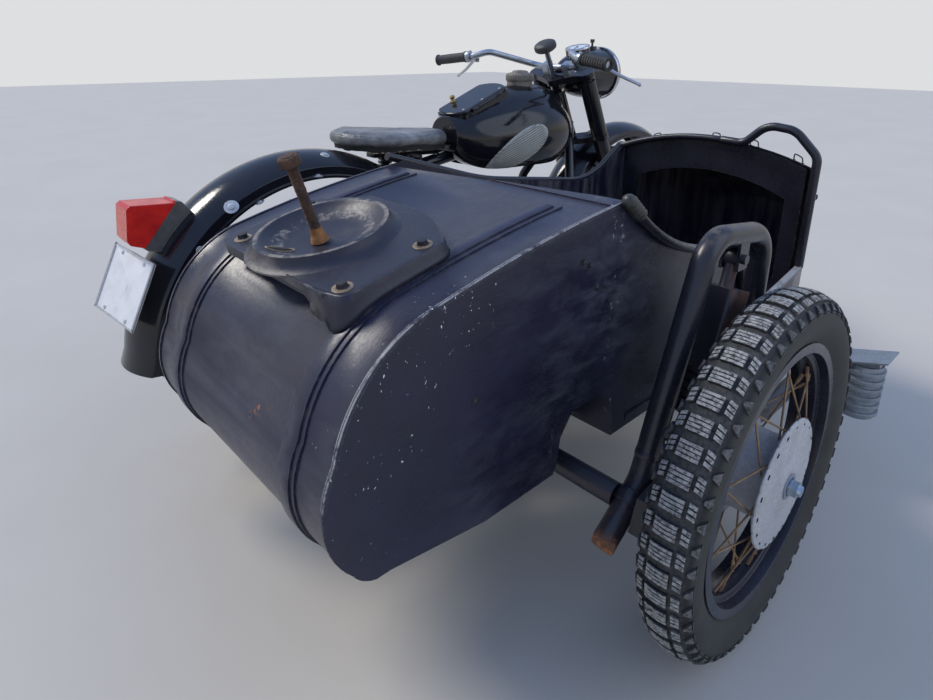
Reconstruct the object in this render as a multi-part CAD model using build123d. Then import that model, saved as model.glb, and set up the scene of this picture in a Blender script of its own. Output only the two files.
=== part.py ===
"""Sidecar motorcycle: a flat-twin solo machine with a one-seat sidecar on its right side.

The model is drawn with X forward, Y to the left and Z up, from the point on the ground under
the rear axle, in the machine's middle plane. At the end every piece moves by one shift, so that
the origin is under the middle of the whole outfit. All sizes are in millimetres.
"""
import os
from math import asin, atan2, cos, degrees, hypot, pi, radians, sin, tan

from build123d import *

# Overall layout
wheelbase = 1450.0
track = 1130.0
wheel_lead = 260.0
steering_rake = 27.0
steering_trail = 76.0

# Wheels
tyre_radius = 345.0
tyre_half_width = 49.0
tread_half_width = 43.0
shoulder_drop = 15.0
rim_flange_radius = 256.0
rim_half_width = 36.0
rim_wall = 3.0
bead_radius = 240.0
rim_well_radius = 226.0
rim_well_half_width = 15.0
hub_barrel_radius = 78.0
hub_flange_radius = 105.0
hub_flange_width = 7.0
hub_half_width = 44.0
hub_cover_radius = 124.0
hub_cover_width = 12.0
spoke_count = 36
spoke_radius = 2.0
spoke_lean = 34.0
axle_radius = 10.0
axle_clearance = 0.05
axle_nut_radius = 16.0
axle_nut_width = 15.0

# Clearances
running_gap = 6.0
seat_gap = 0.3

# Frame of the motorcycle
frame_tube_radius = 16.0
frame_half_width = 112.0
head_tube_radius = 27.0
head_bore_radius = 18.0
stem_gap = 1.0
head_high = 930.0
top_tube_radius = 20.0
cradle_height = 186.0
cross_bar_radius = 12.0
swing_pivot = (374.0, 330.0)
lug_inner = 104.0
fender_clip = (254.0, 694.6)
cross_bar_places = (500.0, 770.0)

# Fork and handlebar
fork_half_spacing = 106.0
fork_lead = 50.0
fork_tube_radius = 20.0
fork_shroud_radius = 29.0
fork_cap = 984.0
yoke_thickness = 22.0
yoke_arm_width = 46.0
stem_boss_radius = 29.0
upper_yoke_height = 968.0
lower_yoke_height = 745.0
fork_slider_radius = 25.0
bar_radius = 11.0
bar_half_width = 372.0
grip_radius = 17.0
grip_length = 118.0
lever_tip = (-107.0, 410.0, 972.0)
knob_radius = 37.0
knob_lift = 128.0
headlamp_radius = 92.0
headlamp_length = 225.0
lamp_height = 985.0

# Engine and driveline
crank_height = 380.0
engine_centre = 700.0
engine_half_width = 92.0
gearbox_half_width = 68.0
cylinder_length = 150.0
cylinder_radius = 48.0
fin_radius = 66.0
fin_count = 9
fin_thickness = 3.0
head_length = 42.0
silencer_radius = 40.0
exhaust_radius = 19.0
port_reach = 105.0
port_length = 76.0
shaft_radius = 17.0
case_width = 50.0
engine_rear = 400.0
shaft_end_height = 332.0

# Tank and saddle
lid_length = 236.0
lid_width = 124.0
lid_thickness = 12.0
lid_slope = 21.0
hinge_radius = 4.5
tool_depth = 52.0
filler_place = (848.0, 962.0)
cap_radius = 48.0
saddle_rear_low = 824.0
saddle_nose_low = 790.0
saddle_thickness = 38.0
pan_line = ((190.0, 792.0), (500.0, 776.0))

# Fenders
fender_wall = 2.0
rear_fender_radius = 478.0
rear_fender_half_width = 90.0
rear_crown = 34.0
rear_skirt = 30.0
front_fender_radius = 445.0
stay_height = 420.0
front_fender_half_width = 70.0

# Sidecar body
body_wall = 2.5
body_offset = 215.0
body_right = body_offset - track
body_width = 560.0
body_bottom = 378.0
body_rear = -499.0
deck_front = 98.0
deck_height = 834.0
scuttle = 960.0
scuttle_side_height = 785.0
scuttle_crown = 50.0
nose_length = 400.0
entry_height = 505.0
floor_rear = -225.0
notch_rear = -44.0
notch_front = 112.0
notch_height = 488.0
rim_tube_radius = 9.0
handle_radius = 11.0
handle_share = 0.57
flange_width = 44.0
flange_wall = 3.0
flange_relief = 2.2
swage_inset = 90.0
deck_slant = 70.0
carrier_depth = 250.0
carrier_width = 318.0
dish_radius = 104.0
dish_height = 22.0
carrier_bolt_radius = 9.0
cushion_rear = 250.0

# Sidecar chassis
chassis_tube_radius = 21.0
cross_tube_x = 8.0
cross_tube_height = 352.0
hoop_offset = 108.0
hoop_front = 408.0
bracket_top = 424.0
arm_pin_place = (80.0, 462.0)
front_cross_x = 960.0
chassis_low = 288.0
inner_tube_y = -300.0
shock_foot = (185.0, 392.0)
shock_top = (292.0, 721.0)
shock_eye_half = 12.0
shock_pin_radius = 9.0
step_place = (905.0, -track)


def tie(start, end, radius, trim_start, trim_end):
    """A round bar that stops short of both ends by the trims."""
    start, end = Vector(*start), Vector(*end)
    along = (end - start).normalized()
    return rod(start + along * trim_start, end - along * trim_end, radius)


def rod(start, end, radius):
    """A round bar from start to end."""
    start, end = Vector(*start), Vector(*end)
    span = end - start
    return Solid.make_cylinder(radius, span.length, Plane(origin=start, z_dir=span))


def block(low, high):
    """A box from its low corner to its high corner."""
    size = [h - l for l, h in zip(low, high)]
    middle = [(h + l) / 2 for l, h in zip(low, high)]
    return Pos(*middle) * Box(*size)


def bent_tube(points, bend, radius):
    """A tube along straight runs joined by tangent arcs."""
    path = FilletPolyline(*points, radius=bend)
    start = Plane(origin=path @ 0, z_dir=path % 0)
    return sweep(start * Circle(radius), path=path)


def side_face(edges, y):
    """A face in the plane of constant y from edges drawn in (x, z)."""
    return Plane(origin=(0, y, 0), x_dir=(1, 0, 0), z_dir=(0, -1, 0)) * make_face(Curve() + edges)


def ring(outline):
    """A body of revolution about Y from an outline of (y, radius) edges."""
    return revolve(Plane.YZ * make_face(Curve() + outline), axis=Axis.Y)


# Steering geometry: the axis meets the ground ahead of the front contact point
axis_up = Vector(-sin(radians(steering_rake)), 0, cos(radians(steering_rake)))
axis_foot = wheelbase + steering_trail


def axis_x(height):
    return axis_foot - height * tan(radians(steering_rake))


def fork_x(height):
    return axis_x(height) + fork_lead


def steering(height):
    """Plane on the steering axis at a height, its z along the axis and its x forward."""
    return Plane(origin=(axis_x(height), 0, height), x_dir=(axis_up.Z, 0, -axis_up.X), z_dir=axis_up)


head_low = lower_yoke_height + 19.0
stem_length = (upper_yoke_height - lower_yoke_height) / axis_up.Z + yoke_thickness / 2 + 3.0
bar_height = 1012.0
bar_x = axis_x(upper_yoke_height) + 14
# Right half of the bar from its tip inwards: x behind the clamps, y, height
bar_shape = [(-235, bar_half_width, 1032), (-194, 229, 1048.4), (-165, 182, 1064), (-12, 100, 1020),
             (0, 58, bar_height)]
shaft_y = -(hub_half_width + running_gap) - 24
lid_place = Location((627, 0, 914), (0, -lid_slope, 0))
lid_hinge = Pos(0, -lid_width / 2 - 6, 5)


def level(share):
    """A height on the sidecar body: a share of the way from its floor to its deck."""
    return body_bottom + share * (deck_height - body_bottom)


# Three points of the deck in side view, from the cockpit back
deck_line = [(deck_front, deck_height), (-130, level(0.932)), (-340, level(0.831))]
carrier_slope = degrees(atan2(deck_line[1][1] - deck_line[2][1], deck_line[1][0] - deck_line[2][0]))
carrier_place = Location((-292, body_right + body_width / 2, deck_line[2][1] + 38), (0, -carrier_slope, 0))
dish_shift = Pos(-20, 0, 0)

# Edges of the cockpit in side view: corners (x, z) with the radius at each inner corner
left_edge = [(deck_front - deck_slant, deck_height + 12), (330, 753), (790, 688),
             (scuttle, scuttle_side_height)]
left_radii = [900, 260]
right_edge = [(deck_front - 12, deck_height + 8), (256, 696), (548, 682), (640, entry_height - 42),
              (scuttle, entry_height + 12)]
right_radii = [560, 60, 80]


# Wheels

def tyre():
    low, high = rim_half_width - rim_wall - 1.0, rim_flange_radius + 1.5
    shoulder = tyre_radius - shoulder_drop
    belly = (tyre_radius + rim_flange_radius) / 2
    inner = bead_radius + seat_gap
    return ring([
        Line((-low, inner), (low, inner)),
        Line((low, inner), (low, high)),
        ThreePointArc((low, high), (tyre_half_width, belly), (tread_half_width, shoulder)),
        ThreePointArc((tread_half_width, shoulder), (0, tyre_radius), (-tread_half_width, shoulder)),
        ThreePointArc((-tread_half_width, shoulder), (-tyre_half_width, belly), (-low, high)),
        Line((-low, high), (-low, inner)),
    ])


def rim():
    well = rim_well_radius
    outer = [(-rim_half_width, rim_flange_radius), (-rim_half_width, bead_radius - rim_wall),
             (-rim_well_half_width - rim_wall, bead_radius - rim_wall), (-rim_well_half_width, well),
             (rim_well_half_width, well), (rim_well_half_width + rim_wall, bead_radius - rim_wall),
             (rim_half_width, bead_radius - rim_wall), (rim_half_width, rim_flange_radius),
             (rim_half_width - rim_wall, rim_flange_radius), (rim_half_width - rim_wall, bead_radius),
             (rim_well_half_width, bead_radius), (rim_well_half_width - rim_wall, well + rim_wall),
             (-rim_well_half_width + rim_wall, well + rim_wall), (-rim_well_half_width, bead_radius),
             (-rim_half_width + rim_wall, bead_radius), (-rim_half_width + rim_wall, rim_flange_radius)]
    return ring([Polyline(*outer, close=True)])


def hub(cover_side):
    """Hub drum with two spoke flanges, a cover disc on one side, its bore and its spokes."""
    half = hub_half_width
    body = ring([Polyline(
        (-half, axle_radius + axle_clearance), (half, axle_radius + axle_clearance),
        (half, hub_flange_radius), (half - hub_flange_width, hub_flange_radius),
        (half - hub_flange_width, hub_barrel_radius), (-half + hub_flange_width, hub_barrel_radius),
        (-half + hub_flange_width, hub_flange_radius), (-half, hub_flange_radius), close=True)])
    bore, rim = axle_radius + axle_clearance, hub_cover_radius
    reach = lambda share: cover_side * (half + share * hub_cover_width)
    body += ring([Polyline((reach(0), bore), (reach(1), bore), (reach(1), 40), (reach(0.75), 46),
                           (reach(0.6), rim - 14), (reach(0.4), rim), (reach(0), rim), close=True)])
    spokes = []
    seat = hub_flange_radius - 5.0
    tip = rim_well_radius - seat_gap - spoke_radius / 2
    for number in range(spoke_count):
        side = 1 if number % 2 else -1
        lean = spoke_lean if number % 4 < 2 else -spoke_lean
        foot = radians(number * 360.0 / spoke_count)
        top = foot + radians(lean)
        y_foot, y_top = side * (half - hub_flange_width / 2), side * 6.0
        spokes.append(rod((seat * cos(foot), y_foot, seat * sin(foot)),
                          (tip * cos(top), y_top, tip * sin(top)), spoke_radius))
    return body.fuse(*spokes)


def wheel(name, centre, cover_side):
    place = Pos(*centre)
    return {name + "_tyre": place * tyre(), name + "_rim": place * rim(),
            name + "_hub": place * hub(cover_side)}


def axle(centre, inner, outer, nut_side):
    """Axle through a wheel from y = inner to y = outer, with a nut near one end."""
    x, _, z = centre
    bar = rod((x, inner, z), (x, outer, z), axle_radius)
    end = max(inner, outer) if nut_side > 0 else min(inner, outer)
    nut = Plane(origin=(x, end - nut_side * 5, z), z_dir=(0, -nut_side, 0)) * extrude(
        RegularPolygon(axle_nut_radius, 6), amount=axle_nut_width)
    return bar + nut


# Fenders

def fender_section(radius, half_width, crown):
    """Crowned outer arc of a fender with its two skirt corners."""
    edge = radius - crown
    return ThreePointArc((-half_width, edge), (0, radius), (half_width, edge))


def fender(centre, radius, half_width, crown, skirt, start, stop):
    """A pressed fender: a crowned section with rolled skirt edges, swept round the wheel."""
    angle = radians(start)
    outer, wall = radius, fender_wall
    edge, low = radius - crown, radius - crown - skirt
    roll, fold = half_width + 2 * wall, low + 4 * wall
    section = make_face(Curve() + [
        Line((-roll, low), (-roll, fold)), Line((-roll, fold), (-half_width, fold)),
        Line((-half_width, fold), (-half_width, edge)),
        fender_section(radius, half_width, crown),
        Line((half_width, edge), (half_width, fold)), Line((half_width, fold), (roll, fold)),
        Line((roll, fold), (roll, low)), Line((roll, low), (half_width - wall, low)),
        Line((half_width - wall, low), (half_width - wall, edge - wall / 2)),
        ThreePointArc((half_width - wall, edge - wall / 2), (0, outer - wall),
                      (-half_width + wall, edge - wall / 2)),
        Line((-half_width + wall, edge - wall / 2), (-half_width + wall, low)),
        Line((-half_width + wall, low), (-roll, low))])
    plane = Plane(origin=centre, x_dir=(0, 1, 0), z_dir=(sin(angle), 0, -cos(angle)))
    return revolve(plane * section, axis=Axis(centre, (0, -1, 0)), revolution_arc=stop - start)


def fender_core(centre, radius, half_width, crown):
    """All that lies under a fender's outer face, to seat other pieces on it."""
    foot = radius / 2
    edge = radius - crown
    section = make_face(Curve() + [
        Line((-half_width, foot), (-half_width, edge)), fender_section(radius, half_width, crown),
        Line((half_width, edge), (half_width, foot)), Line((half_width, foot), (-half_width, foot))])
    upright = Plane(origin=centre, x_dir=(0, 1, 0), z_dir=(1, 0, 0))
    return revolve(upright * section, axis=Axis(centre, (0, -1, 0)), revolution_arc=360)


def polar(centre, radius, angle, y):
    """A point at a radius and an angle from +X round a wheel centre, at a given y."""
    turn = radians(angle)
    return (centre[0] + radius * cos(turn), y, centre[2] + radius * sin(turn))


rear_centre = (0.0, 0.0, tyre_radius)
front_centre = (wheelbase, 0.0, tyre_radius)
side_centre = (wheel_lead, -track, tyre_radius)
arm_y = hub_half_width + hub_cover_width + running_gap + 14.0
top_tube_line = [(axis_x(855) - 5, 0, 855), (620, 0, 765), (330, 0, 722)]


# Motorcycle frame and engine

def main_frame():
    head = rod((axis_x(head_low), 0, head_low), (axis_x(head_high), 0, head_high), head_tube_radius)
    top = bent_tube(top_tube_line, 150, top_tube_radius)
    shape = head + top
    for side in (1, -1):
        y = side * frame_half_width
        cradle = bent_tube([(axis_x(head_low + 51) - 5, side * 22, head_low + 51), (1010, y, 610),
                            (955, y, cradle_height), (400, y, cradle_height), (235, y, 360), (70, y, 645)],
                           60, frame_tube_radius)
        stay = bent_tube([(345, side * 6, 722), (290, y, 705), (80, y, 640)], 30,
                         frame_tube_radius - 2)
        lug = rod((78, y, 644), (24, y, 656), 11)
        x, z = fender_clip
        clip = rod((x, y, z), (x, side * (rear_fender_half_width + seat_gap), z), 9)
        low, high = sorted((side * lug_inner, side * (frame_half_width + 8)))
        plate = block((262, low, swing_pivot[1] - 16), (swing_pivot[0] + 16, high, swing_pivot[1] + 16))
        shape += cradle + stay + lug + clip + plate
    for x in cross_bar_places:
        shape += rod((x, -frame_half_width, cradle_height), (x, frame_half_width, cradle_height),
                     cross_bar_radius)
    bore = rod((axis_x(head_low - 20), 0, head_low - 20), (axis_x(head_high + 20), 0, head_high + 20),
               head_bore_radius)
    return shape - bore


def engine_block():
    """Crankcase with its timing cover, dynamo, bell housing, gearbox and air cleaner."""
    low = cradle_height + cross_bar_radius + seat_gap
    case = [Polyline((585, low + 22), (620, low), (790, low), (828, 262), (828, 430),
                     (795, 492), (640, 505), (585, 478), close=True)]
    half, narrow = engine_half_width, gearbox_half_width
    shape = extrude(side_face(case, half), amount=2 * half)
    box = [Polyline((engine_rear, 258), (430, 232), (600, 232), (600, 470), (540, 478), (440, 462),
                    (engine_rear, 420), close=True)]
    shape += extrude(side_face(box, narrow), amount=2 * narrow)
    shape += rod((556, 0, crank_height + 4), (588, 0, crank_height + 4), 116)
    shape += rod((820, 0, crank_height + 6), (848, 0, crank_height + 6), 84)
    shape += rod((846, 0, crank_height + 6), (860, 0, crank_height + 6), 46)
    shape += rod((664, 0, 540), (826, 0, 540), 46) + rod((820, 0, 540), (836, 0, 540), 34)
    shape += rod((480, 0, 462), (480, 0, 560), 56) + rod((480, 0, 558), (480, 0, 578), 40)
    for number in range(6):
        x = 640 + number * 28
        shape += block((x, -half - 4, low + 4), (x + 5, half + 4, low + 40))
    return shape + rod((engine_rear, shaft_y, shaft_end_height), (470, shaft_y, shaft_end_height), 26)


def cylinder(side):
    """Finned barrel and head, with its exhaust port in front and its carburettor behind."""
    x, z = engine_centre + 15.0 * side, crank_height
    y = lambda reach: side * (engine_half_width + reach)
    barrel = rod((x, y(seat_gap), z), (x, y(cylinder_length), z), cylinder_radius)
    step = (cylinder_length - 20) / fin_count
    for number in range(fin_count):
        reach = 14 + number * step
        barrel += rod((x, y(reach), z), (x, y(reach + fin_thickness), z), fin_radius)
    port = y(port_reach)
    barrel += rod((x + 30, port, z - 18), (x + port_length, port, z - 18), exhaust_radius + 3)
    end = cylinder_length
    head = rod((x, y(end), z), (x, y(end + 14), z), fin_radius + 2)
    for number in range(7):
        dx = (number - 3) * 18.0
        height = (fin_radius ** 2 - dx ** 2) ** 0.5
        low = (x + dx - 2, min(y(end + 13), y(end + head_length)), z - height)
        high = (x + dx + 2, max(y(end + 13), y(end + head_length)), z + height)
        head += block(low, high)
    mouth = rod((x - 40, y(70), z + 30), (x - 95, y(70), z + 30), 17)
    bowl = rod((x - 78, y(70), z - 25), (x - 78, y(70), z + 70), 22)
    horn = rod((x - 94, y(70), z + 30), (x - 150, y(70), z + 38), 25)
    return barrel + head + mouth + bowl + horn


def exhaust():
    """Two pipes from the ports, each under its side to a silencer beside the rear wheel."""
    shapes = []
    for side in (1, -1):
        port = engine_centre + 15.0 * side
        y = side * (engine_half_width + port_reach)
        start = port + port_length + seat_gap
        pipe = bent_tube([(start, y, crank_height - 18), (port + 130, y, crank_height - 18),
                          (port + 132, y, 238), (port, side * 172, 232), (235, side * 168, 240)],
                         38, exhaust_radius)
        body = rod((240, side * 168, 240), (-300, side * 168, 262), silencer_radius)
        tail = rod((-299, side * 168, 262), (-360, side * 168, 264), exhaust_radius)
        shapes.append(pipe + body + tail)
    return Compound(children=shapes)


def final_drive():
    """Drive case on the right of the rear wheel, its shaft tube and the wheel axle."""
    inner = -(hub_half_width + running_gap)
    case = rod((0, inner, tyre_radius), (0, inner - case_width, tyre_radius), 82)
    case += rod((0, shaft_y, tyre_radius), (engine_rear - 0.9, shaft_y, shaft_end_height), shaft_radius)
    case += rod((100, shaft_y, 341), (60, shaft_y, 343), shaft_radius + 2)
    return case + axle(rear_centre, inner - 30, arm_y + 34, 1)


def rear_suspension():
    """Left arm and pivot of the rear fork, with an upright spring unit on each side."""
    y = arm_y
    x, z = swing_pivot
    arm = bent_tube([(x, y, z), (170, y, z + 6), (0, y, tyre_radius)], 300, 13)
    arm += rod((0, y - 13, tyre_radius), (0, y + 13, tyre_radius), 24)
    arm += rod((0, hub_half_width + hub_cover_width + running_gap, tyre_radius), (0, y, tyre_radius), 16)
    arm -= rod((0, 0, tyre_radius), (0, 200, tyre_radius), axle_radius + axle_clearance)
    arm += rod((x, -36, z), (x, lug_inner - seat_gap, z), 14)
    shapes = []
    for side, root in ((1, y + 8), (-1, hub_half_width + running_gap + case_width + seat_gap)):
        tip = frame_half_width * side
        shock = rod((0, tip, 385), (22.5, tip, 643.5), 11) + rod((4, tip, 430), (20, tip, 612), 30)
        shapes.append(shock + rod((-1, side * root, 381), (-1, side * 128, 381), 18))
    return Compound(children=[arm + shapes[0], shapes[1]])


def tank_section(x, bottom, half_low, half_mid, middle, half_top, shoulder, top):
    """One cross-section of the tank: a flat bottom, bulging sides and an arched top."""
    wire = Curve() + [
        Line((half_low, bottom), (-half_low, bottom)),
        ThreePointArc((-half_low, bottom), (-half_mid, middle), (-half_top, shoulder)),
        ThreePointArc((-half_top, shoulder), (0, top), (half_top, shoulder)),
        ThreePointArc((half_top, shoulder), (half_mid, middle), (half_low, bottom))]
    return Plane(origin=(x, 0, 0), x_dir=(0, 1, 0), z_dir=(1, 0, 0)) * make_face(wire)


def tank_body():
    """Outer form of the tank, before the tunnel and the tool recess are cut."""
    sections = [
        # x, bottom, half width low, at the middle, middle height, half width top, shoulder, top
        (504, 766, 44, 60, 815, 40, 858, 872),
        (540, 734, 66, 94, 812, 62, 868, 888),
        (690, 704, 98, 138, 802, 92, 896, 934),
        (850, 700, 106, 148, 806, 100, 905, 962),
        (980, 708, 80, 124, 812, 80, 884, 938),
        (1044, 764, 36, 62, 822, 36, 862, 884)]
    return loft([tank_section(*row) for row in sections])


def lid_outline(margin):
    """Plan of the tool lid, widened by a margin: straight sides, bowed ends, round corners."""
    half, end = lid_width / 2 + margin, lid_length / 2 + margin
    side = end - 24
    wire = Curve() + [
        Line((-side, -half), (side, -half)), ThreePointArc((side, -half), (end, 0), (side, half)),
        Line((side, half), (-side, half)), ThreePointArc((-side, half), (-end, 0), (-side, -half))]
    face = make_face(wire)
    return fillet(face.vertices(), radius=16)


def fuel_tank():
    """Tank over the top tube, with a lidded tool recess in its top."""
    lift = top_tube_radius + 2 * seat_gap
    (x0, _, z0), (x1, _, z1), (x2, _, z2) = top_tube_line
    slope = (z0 - z1) / (x0 - x1)
    rear = z1 + lift - (z1 - z2) / (x1 - x2) * (x1 - 480)
    floor = 680
    tunnel = [Polyline((480, floor), (1080, floor), (1080, z1 + lift + slope * (1080 - x1)), (x1, z1 + lift),
                       (480, rear), close=True)]
    half = top_tube_radius + 6
    body = tank_body() - extrude(side_face(tunnel, half), amount=2 * half)
    body -= lid_place * extrude(lid_outline(4), amount=34)
    body += lid_place * Pos(0, 0, -34) * extrude(lid_outline(4), amount=34)
    body -= lid_place * Pos(0, 0, -tool_depth) * extrude(lid_outline(-8), amount=tool_depth + 10)
    hinge = lid_place * lid_hinge
    for end in (1, -1):
        body += hinge * Pos(end * 56, 0, 0) * Rot(0, 90, 0) * Cylinder(hinge_radius, 24)
        body += hinge * Pos(end * 56, 2, -5) * Box(24, 7, 6)
    return body + hinge * Rot(0, 90, 0) * Cylinder(2, 120)


def filler_cap():
    """Broad round cap with a rolled grip edge and a domed top."""
    x, z = filler_place
    inner, outer = cap_radius - 5, cap_radius
    outline = [Polyline((0, z - 20), (inner, z - 20), (inner, z + 8), (outer, z + 12), (outer, z + 28),
                        (outer - 6, z + 34), (outer - 20, z + 36), (outer - 30, z + 42), (0, z + 44),
                        close=True)]
    face = Plane.XZ * make_face(Curve() + outline)
    cap = Pos(x, 0, 0) * revolve(face, axis=Axis.Z)
    return cap - Pos(0, 0, seat_gap) * tank_body()


def knee_pads():
    """Ribbed rubber pad on each side of the tank, following its bulge."""
    pads = []
    for side in (1, -1):
        leaf = Plane(origin=(715, side * 60, 768), x_dir=(cos(radians(27)), 0, sin(radians(27))),
                     z_dir=(0, side, 0)) * Ellipse(132, 42)
        slab = extrude(leaf, amount=110) & (Pos(0, side * 6, 0) * tank_body())
        pads.append(slab - Pos(0, side * seat_gap, 0) * tank_body())
    return Compound(children=[pad.solids().sort_by(SortBy.VOLUME)[-1] for pad in pads])


def saddle_plan(margin):
    """Plan of the saddle, drawn in by a margin: a broad rear and a narrow nose."""
    m = margin
    return make_face(Curve() + [
        ThreePointArc((150 + m, -100), (106 + m, 0), (150 + m, 100)),
        ThreePointArc((150 + m, 100), (205, 142 - m), (298, 120 - m)),
        Line((298, 120 - m), (462, 64 - m)), ThreePointArc((462, 64 - m), (504 - m, 0), (462, -64 + m)),
        Line((462, -64 + m), (298, -120 + m)),
        ThreePointArc((298, -120 + m), (205, -142 + m), (150 + m, -100))])


def saddle():
    """One-person saddle: a thick rolled pad on a narrower pressed pan."""
    pad = extrude(Plane.XY.offset(saddle_nose_low - 20) * saddle_plan(0), amount=140)
    rear_top = saddle_rear_low + saddle_thickness
    side = [Line((100, saddle_rear_low), (300, saddle_rear_low - 8)),
            Line((300, saddle_rear_low - 8), (510, saddle_nose_low)),
            Line((510, saddle_nose_low), (510, saddle_nose_low + saddle_thickness + 8)),
            ThreePointArc((510, saddle_nose_low + saddle_thickness + 8), (330, rear_top - 16),
                          (100, rear_top)),
            Line((100, rear_top), (100, saddle_rear_low))]
    pad &= extrude(side_face(side, 160), amount=320)
    rear, front = pan_line
    pan = extrude(Plane.XY.offset(rear[1] - 60) * saddle_plan(26), amount=140)
    band = [Polyline(rear, front, (front[0], saddle_nose_low + 12), (rear[0], saddle_rear_low + 4),
                     close=True)]
    return pad + (pan & extrude(side_face(band, 160), amount=320))


def pan_height(x):
    """Height of the saddle pan's underside at a distance forward."""
    (x0, z0), (x1, z1) = pan_line
    return z0 + (z1 - z0) * (x - x0) / (x1 - x0) - seat_gap


def saddle_springs():
    """Saddle spine on the top tube and two coil springs on the frame stays."""
    rear, front = 225.0, 466.0
    side = [Polyline((rear, pan_height(rear)), (front, pan_height(front)), (front, pan_height(front) - 12),
                     (rear, pan_height(rear) - 12), close=True)]
    spine = extrude(side_face(side, 20), amount=40)
    spine += rod((345, 0, 747), (345, 0, pan_height(345) - 6), 15)
    shapes = [spine]
    for side in (1, -1):
        x, y = 328, side * 72
        coil = rod((x, y, 729.4), (x, y, pan_height(x + 22)), 14)
        for turn in range(5):
            z = 731 + turn * 11
            coil += rod((x, y, z), (x, y, z + 6), 22)
        shapes.append(coil)
    return Compound(children=shapes)


def rear_fender():
    """Rear fender with a tail that flares away from the wheel."""
    start, stop = 30, 173
    shape = fender(rear_centre, rear_fender_radius, rear_fender_half_width, rear_crown, rear_skirt,
                   start, stop)
    angle = radians(stop)
    face = shape.faces().sort_by_distance(polar(rear_centre, rear_fender_radius - 1, stop, 0))[0]
    return shape + extrude(face, amount=36, dir=(-sin(angle) - 0.22, 0, cos(angle)))


def tail_lamp():
    """Wedge-shaped lens on a flat base that stands on the fender."""
    half = 38
    lens = [Polyline((-334, 742), (-438, 750), (-447, 664), (-411, 650), close=True)]
    shape = extrude(side_face(lens, half), amount=2 * half)
    shape = chamfer(shape.edges().filter_by(GeomType.LINE).filter_by(Axis.Y).sort_by(Axis.X)[:2], length=8)
    base = [Polyline((-318, 740), (-336, 746), (-415, 650), (-404, 640), (-330, 620), (-280, 690),
                     close=True)]
    shape += extrude(side_face(base, half - 8), amount=2 * half - 16)
    return shape - fender_core(rear_centre, rear_fender_radius + seat_gap, rear_fender_half_width, rear_crown)


def number_plate():
    """Blank plate on the fender, tilted back with it and bent a little to one side."""
    middle = polar(rear_centre, rear_fender_radius + 27, 154.5, 0)
    out = Vector(cos(radians(155)), 0, sin(radians(155)))
    face = Plane(origin=middle, x_dir=(0, 1, 0), z_dir=out)
    stalk = rod(polar(rear_centre, rear_fender_radius - 10, 154.5, 0),
                polar(rear_centre, rear_fender_radius + 27, 154.5, 0), 14)
    stalk -= fender_core(rear_centre, rear_fender_radius + seat_gap, rear_fender_half_width, rear_crown)
    return face * Rot(0, -8, 0) * Box(190, 156, 2.5) + stalk


def foot_pegs():
    shapes = []
    for side in (1, -1):
        start = side * (frame_half_width + frame_tube_radius + seat_gap)
        shapes.append(rod((520, start, 186), (520, side * 235, 186), 9)
                      + rod((520, side * 150, 186), (520, side * 232, 186), 16))
    return Compound(children=shapes)


# Steering assembly

def yoke(reach):
    """Plan of a yoke: a boss on the stem with an arm out to each leg."""
    plan = Circle(stem_boss_radius)
    for side in (1, -1):
        y = side * fork_half_spacing
        arm = Rot(0, 0, degrees(atan2(y, reach))) * Rectangle(hypot(reach, y), yoke_arm_width)
        plan += Pos(reach / 2, y / 2) * arm + Pos(reach, y) * Circle(fork_shroud_radius + 2)
    return plan


def front_fork():
    """Stem, two yokes, two shrouded legs and the wheel axle ahead of their lower ends."""
    shape = steering(lower_yoke_height) * Pos(0, 0, stem_length / 2) * Cylinder(
        head_bore_radius - stem_gap, stem_length)
    reach = fork_lead * cos(radians(steering_rake))
    for height in (lower_yoke_height, upper_yoke_height):
        plate = extrude(yoke(reach), amount=yoke_thickness)
        shape += steering(height) * Pos(0, 0, -yoke_thickness / 2) * plate
    for side in (1, -1):
        y = side * fork_half_spacing
        shape += rod((fork_x(318), y, 318), (fork_x(fork_cap), y, fork_cap), fork_tube_radius)
        shape += rod((fork_x(310), y, 310), (fork_x(602), y, 602), fork_slider_radius)
        shape += rod((fork_x(600), y, 600), (fork_x(upper_yoke_height), y, upper_yoke_height),
                     fork_shroud_radius)
        shape += rod((fork_x(fork_cap), y, fork_cap), (fork_x(fork_cap + 9), y, fork_cap + 9),
                     fork_tube_radius - 4)
        low, high = sorted((y - 15, y + 15))
        shape += block((fork_x(tyre_radius), low, tyre_radius - 22), (wheelbase, high, tyre_radius + 22))
        shape += rod((wheelbase, low, tyre_radius), (wheelbase, high, tyre_radius), 24)
        spacer = hub_half_width + hub_cover_width + running_gap
        shape += rod((wheelbase, side * spacer, tyre_radius), (wheelbase, y, tyre_radius), 16)
    return shape + axle(front_centre, -fork_half_spacing, fork_half_spacing + 46, 1)


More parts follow.
